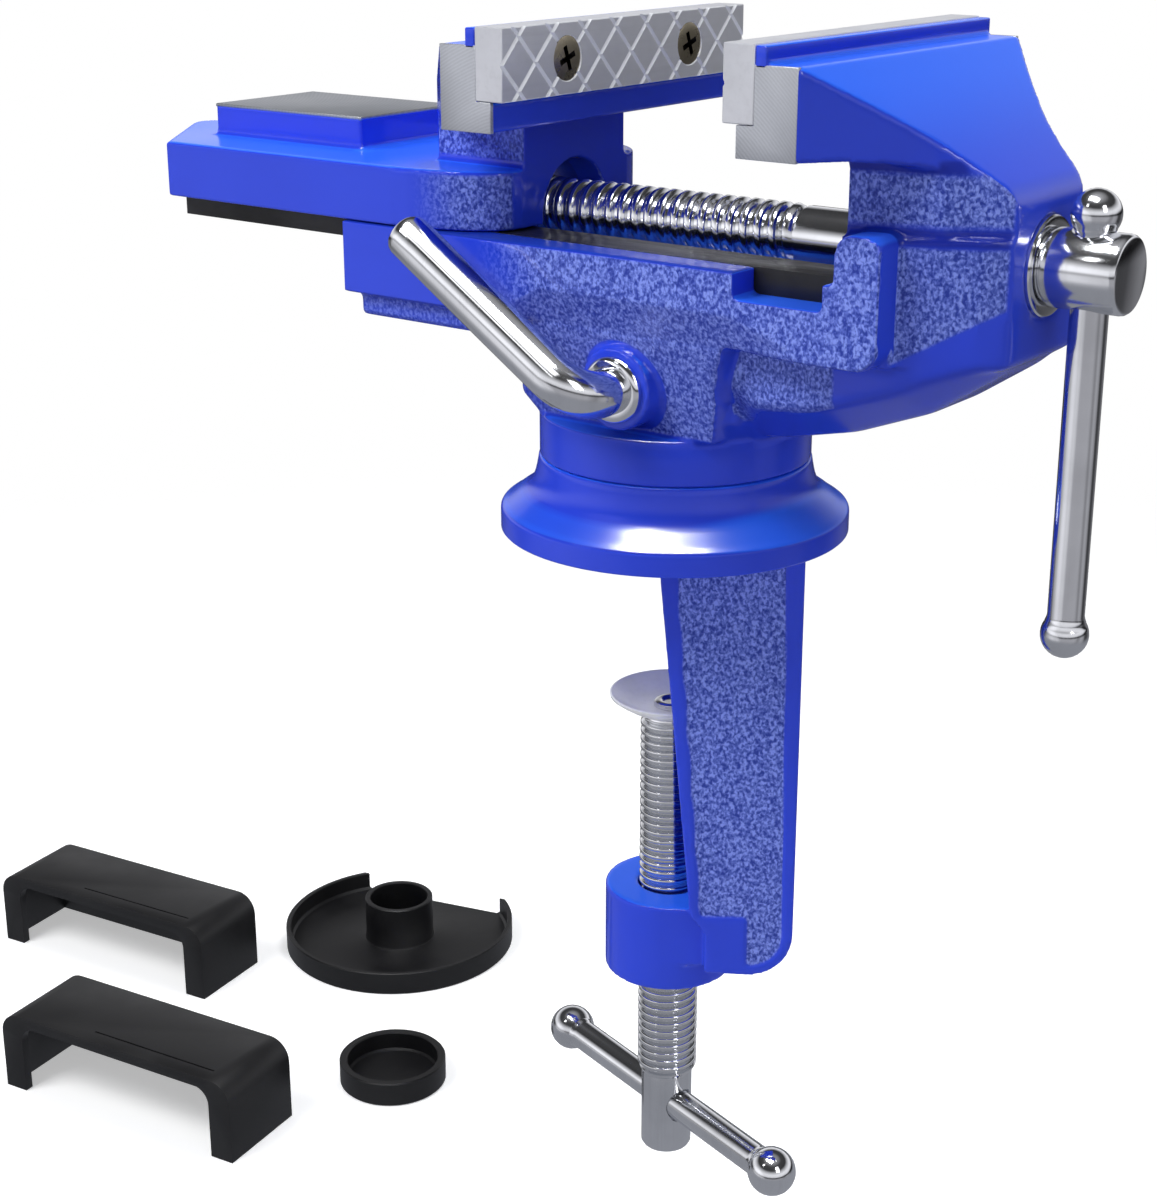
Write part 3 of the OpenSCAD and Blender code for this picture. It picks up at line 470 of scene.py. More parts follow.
class Look(Nodes):
    """A material's nodes; places are the piece's own."""

    def __init__(self, name):
        self.material = bpy.data.materials.new(name)
        self.material.use_nodes = True
        super().__init__(self.material.node_tree)
        self.shader = self.tree.nodes["Principled BSDF"]
        texture = self.add("ShaderNodeTexCoord").outputs
        self.coords, self.normal = texture["Object"], texture["Normal"]

    def set(self, **values):
        """Fills the shader's inputs, whose names are written with underscores."""
        for key, value in values.items():
            self.put(self.shader.inputs[key.replace("_", " ")], value)
        return self.material

    def stretch(self, scale, turn=(0, 0, 0)):
        node = self.add("ShaderNodeMapping", {"Vector": self.coords, "Scale": scale, "Rotation": turn})
        return node.outputs["Vector"]

    def noise(self, scale, detail=2, rough=0.5, coords=None, warp=0):
        node = self.add("ShaderNodeTexNoise", {"Vector": coords or self.coords, "Scale": scale,
                                               "Detail": detail, "Roughness": rough, "Distortion": warp})
        return node.outputs["Fac"]

    def bump(self, height, strength, distance):
        links = {"Height": height, "Strength": strength, "Distance": distance * MM}
        return self.add("ShaderNodeBump", links).outputs["Normal"]

    def axis(self, vector, name):
        return self.add("ShaderNodeSeparateXYZ", {0: vector}).outputs[name]

    def away(self, point):
        """The place as seen from a point in millimetres."""
        return self.vector("SUBTRACT", self.coords, tuple(c * MM for c in point))

    def facing(self, direction, low=0.9, high=0.975):
        """How squarely the surface faces a direction of the piece."""
        return self.span(self.vector("DOT_PRODUCT", self.normal, direction), low, high)

    def facing_sides(self, direction, *limits):
        """How squarely the surface faces a direction or its mirror image across Y."""
        x, y, z = direction
        return self.either(self.facing((x, y, z), *limits), self.facing((x, -y, z), *limits))

    def band(self, value, low, high, edge=0.4, low_edge=None):
        """A soft-edged band of a length, in millimetres."""
        start = edge if low_edge is None else low_edge
        up = self.span(value, (low - start) * MM, (low + start) * MM)
        down = self.span(value, (high + edge) * MM, (high - edge) * MM)
        return self.math("MULTIPLY", up, down)

    def along(self, direction, low, high, *edges):
        """A soft-edged band along a direction, in millimetres."""
        return self.band(self.vector("DOT_PRODUCT", self.coords, direction), low, high, *edges)


PAINT = (0.022, 0.06, 0.7)
PAINT_DEEP = (0.016, 0.042, 0.56)
# Paler azure painted on faces turned up, as painted top light
PAINT_TOP_LIT = (0.03, 0.165, 1)
# Deep navy painted where shade falls, as painted shade
PAINTED_SHADE_COLOUR = (0.006, 0.014, 0.26)
HAMMER_DARK = (0.022, 0.044, 0.34)
HAMMER_MID = (0.085, 0.13, 0.56)
HAMMER_LIGHT = (0.24, 0.32, 0.86)
COAT = 0.42
COAT_LOSS_TOP_LIT = 0.26
COAT_LOSS_HAMMER = 0.36
COAT_LOSS_SHADE = 0.38


def paint(name, hammer=None, lean=(0, 0, 0), painted_shade=None, top_light_fade=None, coat_rough=0.05):
    """Blue gloss paint.

    hammer(look) gives the share of hammered finish, and the shade mask the share of paint made
    darker as painted shade. Upward faces get a paler azure as painted top light, which fades between
    two stations along X when they are given.
    """
    look = Look(name)
    colour = look.mix(look.span(look.noise(22), 0.3, 0.7, 0, 0.35), PAINT, PAINT_DEEP)
    # Painted light: faces turned up, and the fixed jaw's top slope, get a paler azure as if lit from
    # above
    sky = look.either(look.facing((0.6, 0, 0.8), 0.8, 0.97), look.facing(Z, 0.7, 0.95))
    if top_light_fade is not None:
        start, end = top_light_fade
        station = look.axis(look.coords, "X")
        sky = look.times(sky, look.span(station, start * MM, end * MM, 1, 0.15))
    colour = look.mix(look.times(sky, 0.85), colour, PAINT_TOP_LIT)
    rough = look.span(look.noise(60, 1), 0.3, 0.7, 0.22, 0.27)
    coat = look.less(COAT, sky, COAT_LOSS_TOP_LIT)
    if hammer is not None:
        share = hammer(look)
        worms = look.noise(1700, 1.1, coords=look.stretch((1, 1, 0.8), lean), warp=0.35)
        tone = look.ramp(worms, [(0.32, HAMMER_DARK), (0.48, HAMMER_MID), (0.66, HAMMER_LIGHT)])
        colour = look.mix(share, colour, tone)
        rough = look.math("ADD", rough, look.times(share, 0.1))
        coat = look.less(coat, share, COAT_LOSS_HAMMER)
        look.set(Normal=look.bump(worms, look.times(share, 0.6), 0.22))
    # Painted shade: darker navy where the mask says shade falls
    if painted_shade is not None:
        share = painted_shade(look)
        colour = look.mix(look.times(share, 0.8), colour, PAINTED_SHADE_COLOUR)
        coat = look.less(coat, share, COAT_LOSS_SHADE)
    return look.set(Base_Color=colour, Roughness=rough, IOR=1.3, Coat_Weight=coat,
                    Coat_Roughness=coat_rough)


# Where the paint is hammered or darkened as painted shade: bands in millimetres, on the near and the far
# side

FLANK_WAY = (0.2004, 0.9797)


def flank_reach(look, low, high):
    """A band between two planes that taper with the fixed jaw's sides, on both sides at once."""
    station = look.times(look.axis(look.coords, "X"), FLANK_WAY[0])
    side = look.times(look.math("ABSOLUTE", look.axis(look.coords, "Y")), FLANK_WAY[1])
    return look.band(look.math("ADD", station, side), low, high)


def off_boss(look):
    """0 on the lock lever's smooth boss, 1 beside it and on the far side."""
    radius = look.vector("LENGTH", look.vector("MULTIPLY", look.away(LEVER_AT), (1, 0, 1)))
    return look.either(look.span(radius, 8.6 * MM, 9.1 * MM), look.along(Y, 0, 60))


def body_painted_shade(look):
    """Painted shade on the fixed jaw: its recessed step, under its head, faces turned down and the
    rails' top.
    """
    # Painted shade in the recessed step and under the head's end face, kept off the top slope
    step = look.times(look.along(X, 47, 74, 0.5), look.along(Z, 63.1, 65.9, 0.6),
                      flank_reach(look, 26, 33.2))
    under = look.times(look.along(X, 47, 73, 0.5), look.along(Z, 74.6, 77, 0.5),
                       flank_reach(look, 29.5, 31.7))
    off_slope = look.math("SUBTRACT", 1, look.facing((0.6, 0, 0.8), 0.3, 0.6))
    # Painted shade on faces turned down, and on the rails' top beside the screw
    below = look.times(look.facing((0, 0, -1), 0.05, 0.6), 0.6)
    rail_top = look.times(look.along(Z, 56, 57.4, 0.3), look.along(X, -60, 41, 1),
                          look.facing(Z, 0.5, 0.8))
    return look.either(step, look.times(under, off_slope), below, rail_top)


def body_hammer(look):
    """The column, the webs under the head, the head's own flanks, the throat and the rib."""
    sides = look.facing_sides((0, -1, -0.12), 0.7, 0.86)
    corner = look.facing_sides((0.7, -0.7, 0), 0.72, 0.8)
    tapered = look.facing_sides((0.3, -0.95, 0), 0.8, 0.9)
    column = look.times(sides, look.along(X, -18, 46, 0.5, 9), look.along(Z, 24, 56.4), off_boss(look))
    web_faces = look.either(look.along(Y, -28.4, -26.2, 0.1), look.along(Y, 26.2, 28.4, 0.1))
    web = look.times(sides, look.along(X, 44, 58.2), web_faces, look.along(Z, 24, 65))
    under_head = look.times(look.along(Z, 66.2, 74.6, 0.8), flank_reach(look, 20, 31.9))
    belly_and_head = look.either(look.along(Z, 30, 62.9), under_head)
    jaw = look.times(look.either(sides, tapered, corner), look.along(X, 58, 74, 0.3),
                     look.along((-0.507, 0, 0.862), 8.2, 90), belly_and_head)
    neck = look.times(sides, look.along(X, 48, 60), under_head)
    throat = look.times(look.facing((-1, 0, 0)), look.along(X, 44, 60), look.along(Z, 57, 75))
    rib = look.times(0.5, sides, look.along(X, -70, -10), look.along(Z, 38.6, 42.6, 0.3))
    return look.either(column, web, jaw, neck, throat, rib)


def moving_hammer(look):
    sides = look.facing_sides((0, -1, 0))
    turned = look.facing_sides((0.6, -0.8, 0), 0.75, 0.9)
    lower = look.times(look.either(sides, turned), look.along(X, -36, -20, 0.6, 6),
                       look.along(Z, 56, 67))
    neck = look.times(sides, look.along(Z, 69.2, 76.4), look.along(X, -48, -24))
    return look.either(lower, neck)


def arm_hammer(look):
    """The arm's two sunk panels, down to its foot."""
    a = math.radians(ARM_TURN)
    near, far = (look.times(look.facing(side), look.along(side, 15.2, 15.78, 0.1))
                 for side in ((math.sin(a), -math.cos(a), 0), (-math.sin(a), math.cos(a), 0)))
    return look.times(look.either(near, far), look.along(Z, -95, -0.5))


def darker(colour, share):
    return tuple(c * share for c in colour)


def worn(look, colour, lines_scale, grain, lines_share):
    """A metal's colour with smudges and fine lines along one way, and those two."""
    lines = look.noise(lines_scale, 3, 0.6, coords=look.stretch(grain))
    smudge = look.noise(70, 3, 0.55)
    deep = darker(colour, 0.75)
    tone = look.mix(look.span(smudge, 0.35, 0.75, 0, 0.5), colour, deep)
    tone = look.mix(look.span(lines, 0.45, 0.8, 0, lines_share), tone, deep)
    return tone, lines, smudge


def metal(name, colour, rough, grain=(1, 1, 1), depth=0.02, metallic=1):
    """Bright or brushed metal."""
    look = Look(name)
    tone, lines, smudge = worn(look, colour, 900, grain, 0.25)
    return look.set(Base_Color=tone, Metallic=metallic, Normal=look.bump(lines, 0.35, depth),
                    Roughness=look.span(smudge, 0.3, 0.75, rough, rough + 0.08))


def across(look):
    """How far the surface turns to the piece's X axis, either way."""
    return look.math("ABSOLUTE", look.axis(look.normal, "X"))


def grooved(name, colour, rough):
    """Ground steel; the flanks of its scored grooves and its edges are made pale and less metallic, a
    painted highlight.
    """
    look = Look(name)
    tone, lines, smudge = worn(look, colour, 700, (1, 0.06, 1), 0.3)
    turned = across(look)
    # Painted highlight: faces turned part way from the plate's face, the groove flanks and rounded
    # edges, are made pale
    groove_glint = look.times(look.span(turned, 0.3, 0.45), look.span(turned, 0.97, 0.9))
    return look.set(Base_Color=look.mix(groove_glint, tone, (0.9, 0.91, 0.94)),
                    Metallic=look.span(groove_glint, 0, 1, 0.8, 0.25),
                    Roughness=look.span(smudge, 0.3, 0.75, rough, rough + 0.08),
                    Normal=look.bump(lines, 0.35, 0.03))


def plated_screw_and_shade(name, colour):
    """Plated screw heads; the walls of the cross recess are painted near black, as painted shade."""
    look = Look(name)
    smudge = look.noise(260, 3, 0.6)
    tone = look.mix(look.span(smudge, 0.35, 0.7, 0, 0.6), colour, darker(colour, 0.55))
    # Painted shade: faces turned across the screw's axis, chiefly the recess walls, go near black
    recess = look.span(across(look), 0.8, 0.6)
    return look.set(Base_Color=look.mix(recess, tone, (0.015, 0.014, 0.013)), Metallic=1,
                    Roughness=look.span(smudge, 0.3, 0.75, 0.24, 0.36),
                    Normal=look.bump(smudge, 0.3, 0.02))


def milled(name, colour, rough, centre, spacing):
    """Machined steel with the arcs that a facing cutter leaves."""
    look = Look(name)
    wobble = look.times(look.noise(60), 0.0012)
    radius = look.math("ADD", look.vector("LENGTH", look.away(centre)), wobble)
    wave = look.math("SINE", look.times(radius, 2 * math.pi / (spacing * MM)))
    height = look.math("ADD", look.times(wave, 0.5), look.noise(2600, 2, 0.6))
    deep = darker(colour, 0.62)
    tone = look.mix(look.span(height, -0.2, 1.2, 0.7, 1), deep, colour)
    blotch = look.noise(45, 3)
    return look.set(Base_Color=look.mix(look.span(blotch, 0.4, 0.75, 0, 0.3), tone, deep), Metallic=1,
                    Roughness=look.span(blotch, 0.3, 0.7, rough, rough + 0.12),
                    Normal=look.bump(height, 0.25, 0.05))


def rubber(name):
    look = Look(name)
    grain = look.noise(1400, 3, 0.65)
    broad = look.noise(55, 3)
    tone = look.mix(look.span(broad, 0.35, 0.7), (0.004, 0.004, 0.005), (0.008, 0.008, 0.009))
    tone = look.mix(look.span(grain, 0.55, 0.8, 0, 0.3), tone, (0.02, 0.02, 0.022))
    return look.set(Base_Color=tone, Roughness=look.span(broad, 0.3, 0.7, 0.4, 0.5),
                    Normal=look.bump(grain, 0.2, 0.04))


def oxide(name):
    """Blackened steel."""
    look = Look(name)
    grain = look.noise(700, 3, 0.6, coords=look.stretch((0.2, 1, 1)))
    broad = look.span(look.noise(60, 3), 0.35, 0.7)
    return look.set(Base_Color=look.mix(broad, (0.01, 0.01, 0.012), (0.028, 0.028, 0.032)),
                    Metallic=0.4, Roughness=look.span(grain, 0.3, 0.7, 0.3, 0.42),
                    Normal=look.bump(grain, 0.25, 0.04))


# Each finish is a material and the name of a slot
blue_body = paint("blue_body", body_hammer, painted_shade=body_painted_shade, top_light_fade=(50, 74)), "blue_paint"
blue_moving = paint("blue_moving", moving_hammer), "blue_paint"
blue_arm = paint("blue_arm", arm_hammer, (0, 0.5, 0)), "blue_paint"
blue_plain = paint("blue_plain"), "blue_paint"
blue_turned = paint("blue_turned", coat_rough=0.12), "blue_paint"
chrome = metal("chrome_plate", (0.8, 0.81, 0.84), 0.09, grain=(1, 1, 0.05), depth=0.004), "chrome"
# The clamp disc's zinc is paler and less metallic than the other zinc: painted light that lifts it where
# it sits in shade under the flange
zinc_lit_pale = metal("zinc_disc_lit", (0.94, 0.94, 0.95), 0.34, depth=0.015, metallic=0.2), "plated_steel"
zinc = metal("zinc_plate", (0.74, 0.74, 0.76), 0.2, depth=0.015), "plated_steel"
plate_steel = grooved("plate_steel", (0.74, 0.75, 0.8), 0.42), "jaw_steel"
anvil_steel = milled("anvil_steel", (0.44, 0.46, 0.5), 0.4, (-180, -60, 74), 0.8), "jaw_steel"
end_steel = milled("end_steel", (0.6, 0.62, 0.67), 0.42, (0, -60, 40), 0.5), "jaw_steel"
brassy = plated_screw_and_shade("yellow_zinc", (0.42, 0.37, 0.27)), "brassy_screws"
brass = metal("brass_slug", (0.7, 0.52, 0.22), 0.25), "brass"
black_plate = oxide("black_oxide"), "black_steel"
black_pad = rubber("black_rubber"), "black_rubber"


def finish(obj, body, surface, *replaced):
    """Gives a piece its finish, its body and the CAD nodes that it stands for."""
    material, slot = surface
    obj.data.materials.clear()
    obj.data.materials.append(material)
    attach(obj, body)
    if replaced:
        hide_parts(*replaced)


# Fixed jaw and body

# Stations along X with half the head's width there: the head's taper is hollow
JAW_TAPER = [(48.2, 37.5), (50.2, 34.9), (52.6, 31.8), (55.5, 28.2), (58.4, 24.8), (61.3, 21.6),
             (64.4, 18.6), (67.9, 16), (70.6, 14.5), (72.6, 13.4), (74.6, 12.2)]
# Stations along X with half the belly's width there, beside the nose
BELLY_TAPER = [(59, 20.9), (64.4, 19.3), (67.9, 17.6), (70.6, 16.3), (74.6, 12.9), (76.5, 11.6)]
# Stations along X with the end face's lower edge there, and the height of the fillet under it
HEAD_DROOP = [(54, 77, 0.3), (57, 76.8, 0.8), (60, 76.5, 1.2), (62.5, 76.1, 1.5), (65, 75.5, 1.8),
              (67.5, 74.6, 2), (69, 74, 2)]
# Stations along X with the share of the column's lower slope that is cut there
COLUMN_SLOPE = [(-24, 0), (-11, 1), (30, 1), (44, 0)]
SLOPE_LOW_Z = 42.3
SLOPE_HIGH_Z = 50
SLOPE_RUN_OUT = 5
SLOPE_DEPTH = 2.7
COLUMN_HALF = 28.2
# Lines over the belly, each as a station along X, the height there and the slope
BELLY_TOPS = ((50, 45, -0.3), (45.8, 34.6, 0.592))
BELLY_FROM_X = 24
BELLY_HALF = 24.5
BEYOND_NOSE_X = 76.5
JAW_SLOPE = 0.7804
JAW_SLOPE_X = 48.1
FLANK_HALF = 21.8
FLANK_NARROWS = 4.5 / 22
THROAT_HALF = 21.75
THROAT_R = 2.6
WEB_FRONT_X = 58.5
WEB_LOW_Z = 42.8
WEB_R = 4
OVERLAP = 0.1


def in_belly(x, y, z):
    """Whether a point lies in the belly under the fixed jaw, which is cast rounder."""
    top = max(height + slope * (x - at) for at, height, slope in BELLY_TOPS)
    return x > BELLY_FROM_X and z < top and abs(y) < BELLY_HALF


def slope_top(x):
    """Height of the fixed jaw's top slope at a station."""
    return SHOULDER_Z - JAW_SLOPE * (x - JAW_SLOPE_X)


def jaw_half(x):
    """Half the fixed jaw's width at a station of its head."""
    for (x0, y0), (x1, y1) in zip(JAW_TAPER, JAW_TAPER[1:]):
        if x <= x1:
            return y0 + (y1 - y0) * (x - x0) / (x1 - x0)


def side_cut(name, side, points, low, high):
    """An outline of one side drawn up; the outline is given for the far side."""
    if side < 0:
        points = [(x, -y) for x, y in reversed(points)]
    return prism(name, points, low, high)


def taper_cut(side):
    """What lies outside the fixed jaw's hollow taper."""
    outside = [(BEYOND_NOSE_X, 11.6), (BEYOND_NOSE_X, 40), (JAW_TAPER[0][0], 40)]
    return side_cut("taper", side, JAW_TAPER + outside, 64.5, 97)


def flank_cut(side):
    """What stands out of the belly beside the nose."""
    outside = [(BEYOND_NOSE_X, 24), (BELLY_TAPER[0][0], 24)]
    return side_cut("flank", side, BELLY_TAPER + outside, 18, 64.6)


def slope_cut(side):
    """What stands out of the column's sloping side at the arm's lower edge."""
    outside = side * (COLUMN_HALF + OVERLAP)
    return loft("slope", [[(x, outside, SLOPE_HIGH_Z - SLOPE_RUN_OUT * (1 - share)),
                           (x, outside, SLOPE_LOW_Z),
                           (x, side * (COLUMN_HALF - SLOPE_DEPTH * share), SLOPE_LOW_Z)]
                          for x, share in COLUMN_SLOPE])


def web_corner(side):
    """What the web's rounded lower corner leaves out."""
    front, low = WEB_FRONT_X, WEB_LOW_Z
    points = [(front + OVERLAP, low - OVERLAP), (front + OVERLAP, low + WEB_R)]
    points += arc(front - WEB_R, low + WEB_R, WEB_R, 0, -90) + [(front - WEB_R, low - OVERLAP)]
    return upright("corner", points, *sorted((side * 22.6, side * 28.6)))


def under_head(side):
    """The fixed jaw's end face drooping towards the nose, and the fillet under it.

    It reaches into the head and the flank, which the voxels fuse with it.
    """
    sections = []
    for x, droop, fillet in HEAD_DROOP:
        outer = jaw_half(x)
        inner = min(FLANK_HALF - (x - THROAT_X) * FLANK_NARROWS - 1.5, outer - 0.8)
        top = max(droop + 0.2, min(HEAD_Z + 0.3, slope_top(x) - 0.25))
        sections.append([(x, side * inner, top), (x, side * outer, top), (x, side * outer, droop),
                         (x, side * inner, droop - fillet)])
    return loft("fillet", sections)


def throat_corner():
    """A concave rounding where the head's underside meets the throat."""
    x, z = THROAT_X, HEAD_Z
    points = [(x + OVERLAP, z + OVERLAP), (x - THROAT_R, z + OVERLAP)]
    points += arc(x - THROAT_R, z - THROAT_R, THROAT_R, 90, 0) + [(x + OVERLAP, z - THROAT_R)]
    return upright("corner", points, -THROAT_HALF, THROAT_HALF)


body = copy_node("body_casting", "body_shell")
for side in (-1, 1):
    for what in (web_corner, flank_cut, taper_cut, slope_cut):
        cut(body, what(side))
rib = slab("rib", (-56.7, -26, 38.3), (-23, 26, 43.2), 0.8)
join(body, under_head(-1), under_head(1), throat_corner(), rib)
finish(cast(body, rounds=7, keep=0.4, soft=(in_belly, 60)), "vise_body", blue_body, "body_casting")

# Moving jaw
moving = cast(copy_node("moving_jaw_casting", "moving_jaw_shell"), rounds=6, keep=0.34)
finish(moving, "moving_jaw", blue_moving, "moving_jaw_casting")

# The collar's own turned wall, over the casting
collar_profile = [(25.2, 14.75), (25.75, 14.75), (25.98, 14.95), (26, 15.2), (26, 22.75),
                  (25.9, 23.05), (25.65, 23.2), (25.2, 23.2), (25.2, 14.75)]
finish(lathe("collar_wall", collar_profile, steps=144, angle=50), "vise_body", blue_turned)

# Swivel base, turned: rim, hollow neck in two slopes, post with its groove, and the hub's bore
base_profile = [(0, 15), (10.8, 15), (10.8, 0), (33.35, 0), (33.6, 0.25), (33.6, 3.75),
                (33.55, 4.1), (33.38, 4.4), (33.1, 4.62), (32.7, 4.85), (31.9, 5.4), (30.8, 6.25),
                (29.6, 7.1), (28.6, 7.85), (27.85, 8.6), (27.3, 9.5), (26.9, 10.6), (26.6, 11.8),
                (26.35, 13.1), (26.2, 14.1), (26.05, 14.38), (25.8, 14.5), (17.9, 14.5),
                (17.9, 28.4), (16.3, 28.4), (16.3, 36.2), (17.9, 36.2), (17.9, 39.5), (0, 39.5)]
finish(lathe("flange_and_post", base_profile, steps=160, angle=40), "base", blue_turned, "swivel_base")


# Clamp arm: its top runs up into the flange, and its panels reach nearer to the edges

# The arm's outline in its own plane, as (outward, height)
ARM_OUTLINE = [(-2.2, 0), (25.6, 0)] + arc(16.6, -80.2, 9, 0, -90) + [(6.55, -89.2), (5.2, -76.7)]
ARM_SIDE = 15.5
PANEL_TOP = (-7, -4)
PANEL_TOP_RAISED = -1
PANEL_INSET = (2.9, 3.5)
PANEL_GROW = 1.4
ARM_TOP_Z = -0.01
INTO_FLANGE_Z = 1.6


def nearest_on(points, u, z):
    """The closest point of a closed outline, and its distance."""
    best = None
    for (ax, az), (bx, bz) in zip(points, points[1:] + points[:1]):
        run = (bx - ax) ** 2 + (bz - az) ** 2
        share = min(1, max(0, ((u - ax) * (bx - ax) + (z - az) * (bz - az)) / run))
        px, pz = ax + share * (bx - ax), az + share * (bz - az)
        far = math.hypot(u - px, z - pz)
        if best is None or far < best[2]:
            best = (px, pz, far)
    return best


def set_panels(obj):
    """Widens the arm's sunk panels and raises its top."""
    turn = Matrix.Rotation(math.radians(ARM_TURN), 3, "Z")
    for vertex in obj.data.vertices:
        u, side, z = (turn.transposed() @ vertex.co) / MM
        if abs(side) > ARM_SIDE and PANEL_TOP[0] < z < PANEL_TOP[1]:
            z = PANEL_TOP_RAISED
        elif abs(side) > ARM_SIDE and z < PANEL_TOP[1]:
            px, pz, far = nearest_on(ARM_OUTLINE, u, z)
            if PANEL_INSET[0] < far < PANEL_INSET[1]:
                u += (px - u) * PANEL_GROW / far
                z += (pz - z) * PANEL_GROW / far
        if z > ARM_TOP_Z:
            z = INTO_FLANGE_Z
        vertex.co = (turn @ Vector((u, side, z))) * MM
    return obj


arm = cast(set_panels(copy_node("clamp_arm", "clamp_arm_shell")), rounds=4, keep=0.34)
finish(arm, "base", blue_arm, "clamp_arm")


# Machined faces: the jaw heads' ends, cut round the plate's end, their lips and the anvil

SKIN = 0.02
LIP_T = 2.1
LIP_H = 2.97
LIP_GAP = 0.1
SIDES = ((-1, "near"), (1, "far"))
# Each jaw: its name and body, where its plate's face is, the way from there into its head, and
# the CAD nodes of its plate and screws
JAWS = (("fixed", "vise_body", FIXED_X, 1, "front_jaw_plate", "front_plate_screws"),
        ("moving", "moving_jaw", MOVING_X, -1, "rear_jaw_plate", "rear_plate_screws"))


def head_end(name, plate_x, way, side):
    """An L-shaped skin on one end of a jaw head."""
    face_x = plate_x + way * (PLATE_T - SEAT_D)
    seat_x = face_x + way * SEAT_D
    back_x = face_x + way * HEAD_D
    under_plate = PLATE_Z - 0.1
    points = [(face_x, HEAD_Z), (back_x, HEAD_Z), (back_x, SHOULDER_Z), (seat_x, SHOULDER_Z),
              (seat_x, under_plate), (face_x, under_plate)]
    ends = sorted((side * (JAW_HALF - 0.9), side * (JAW_HALF + SKIN)))
    return shade(bevel(upright(name, points, *ends), 0.12), 60)


def head_lip(name, x):
    """The painted lip behind a jaw plate's top edge."""
    return slab(name, (x - SKIN, -JAW_HALF - SKIN, SHOULDER_Z - 0.6),
                (x + LIP_T + 0.03, JAW_HALF + SKIN, SHOULDER_Z + LIP_H), 0.3, 3)


for side, word in SIDES:
    for jaw, body, plate_x, way, _, _ in JAWS:
        finish(head_end(jaw + "_end_" + word, plate_x, way, side), body, end_steel)
finish(head_lip("fixed_lip", FIXED_X + PLATE_T + LIP_GAP), "vise_body", blue_plain)
finish(head_lip("moving_lip", MOVING_X - PLATE_T - LIP_GAP - LIP_T), "moving_jaw", blue_plain)
finish(slab("anvil_face", (-106.6, -14.35, ANVIL_Z - 0.7), (-65.9, 14.35, ANVIL_Z + 0.03), 0.25),
       "moving_jaw", anvil_steel)


# Jaw plates, with the diamond grooves cut into their faces, and their screws

GROOVE_STEP = 9.4
GROOVE_HALF = 0.42
GROOVE_DEEP = 0.42
GROOVE_REACH = 14
SCREW_HOLE = [(0, -7), (2.1, -7), (2.1, -2.5), (4.1, -0.05), (4.1, 1), (0, 1)]
SCREW_HEAD = [(0, -14), (1.9, -14), (1.95, -2.6), (3.7, -0.5), (3.98, -0.25), (3.9, -0.1)]
SCREW_DOME = 0.18
SCREW_TURN = 20
# The cross recess: half length, half width and height of an arm, at its mouth and at its floor
RECESS = ((2.5, 0.55, 0.4), (1.2, 0.33, -1.5))


def jaw_plate(name, face_x, way):
    """A plate from its face into the jaw's head."""
    low, high = sorted((face_x, face_x + way * PLATE_T))
    plate = slab(name, (low, -JAW_HALF, PLATE_Z), (high, JAW_HALF, PLATE_Z + PLATE_H), 0.22)
    section = ((-way * 0.2, -GROOVE_HALF * 1.5), (-way * 0.2, GROOVE_HALF * 1.5),
               (way * GROOVE_DEEP, 0))
    for lean in (-45, 45):
        turn = Matrix.Rotation(math.radians(lean), 3, "X")
        wedges = []
        for i in range(-7, 8):
            base = Vector((face_x, i * GROOVE_STEP, PLATE_MID))
            wedges.append(loft(name + "_cut", [[base + turn @ Vector((x, y, z)) for x, y in section]
                                               for z in (-GROOVE_REACH, GROOVE_REACH)]))
        join(*wedges)
        cut(plate, wedges[0])
    for y in (-SCREW_Y, SCREW_Y):
        cut(plate, lathe(name + "_hole", SCREW_HOLE, (face_x, y, PLATE_MID), (-way, 0, 0), 64))
    return shade(plate, 20)


def cross_screw(name, at, direction):
    """A countersunk screw with a cross recess in a slightly domed head."""
    edge, rim = SCREW_HEAD[-1]
    dome = [(edge * math.cos(a), rim + SCREW_DOME * math.sin(a)) for a in map(math.radians, (30, 60))]
    screw = lathe(name, SCREW_HEAD + dome + [(0, rim + SCREW_DOME)], at, direction, 64)
    for turn in (SCREW_TURN, SCREW_TURN + 90):
        spin = axes(direction) @ Matrix.Rotation(math.radians(turn), 3, "Z")
        cut(screw, loft(name + "_slot", [
            [Vector(at) + spin @ Vector((x * long, y * wide, z)) for x, y in CORNERS]
            for long, wide, z in RECESS]))
    return shade(screw, 30)


for jaw, body, plate_x, way, node, _ in JAWS:
    finish(jaw_plate(jaw + "_plate", plate_x, way), body, plate_steel, node)

# The near screw of each pair stands for the CAD node that holds both
for side, word in SIDES:
    for jaw, body, plate_x, way, _, node in JAWS:
        at = (plate_x + way * 0.12, side * SCREW_Y, PLATE_MID)
        screw = cross_screw(jaw + "_screw_" + word, at, (-way, 0, 0))
        finish(screw, body, brassy, *((node,) if side < 0 else ()))

# Spindle: thread, shank and head

BORE_R = 3.26


def cross_bore(name, mouth, flare, at, direction):
    """A bore right through, which widens at both ends to the mouth's radius."""
    half = [(BORE_R, flare - 0.5), (mouth, flare), (mouth, 12), (0, 12)]
    return lathe(name, [(r, -h) for r, h in reversed(half)] + half, at, direction, 64)


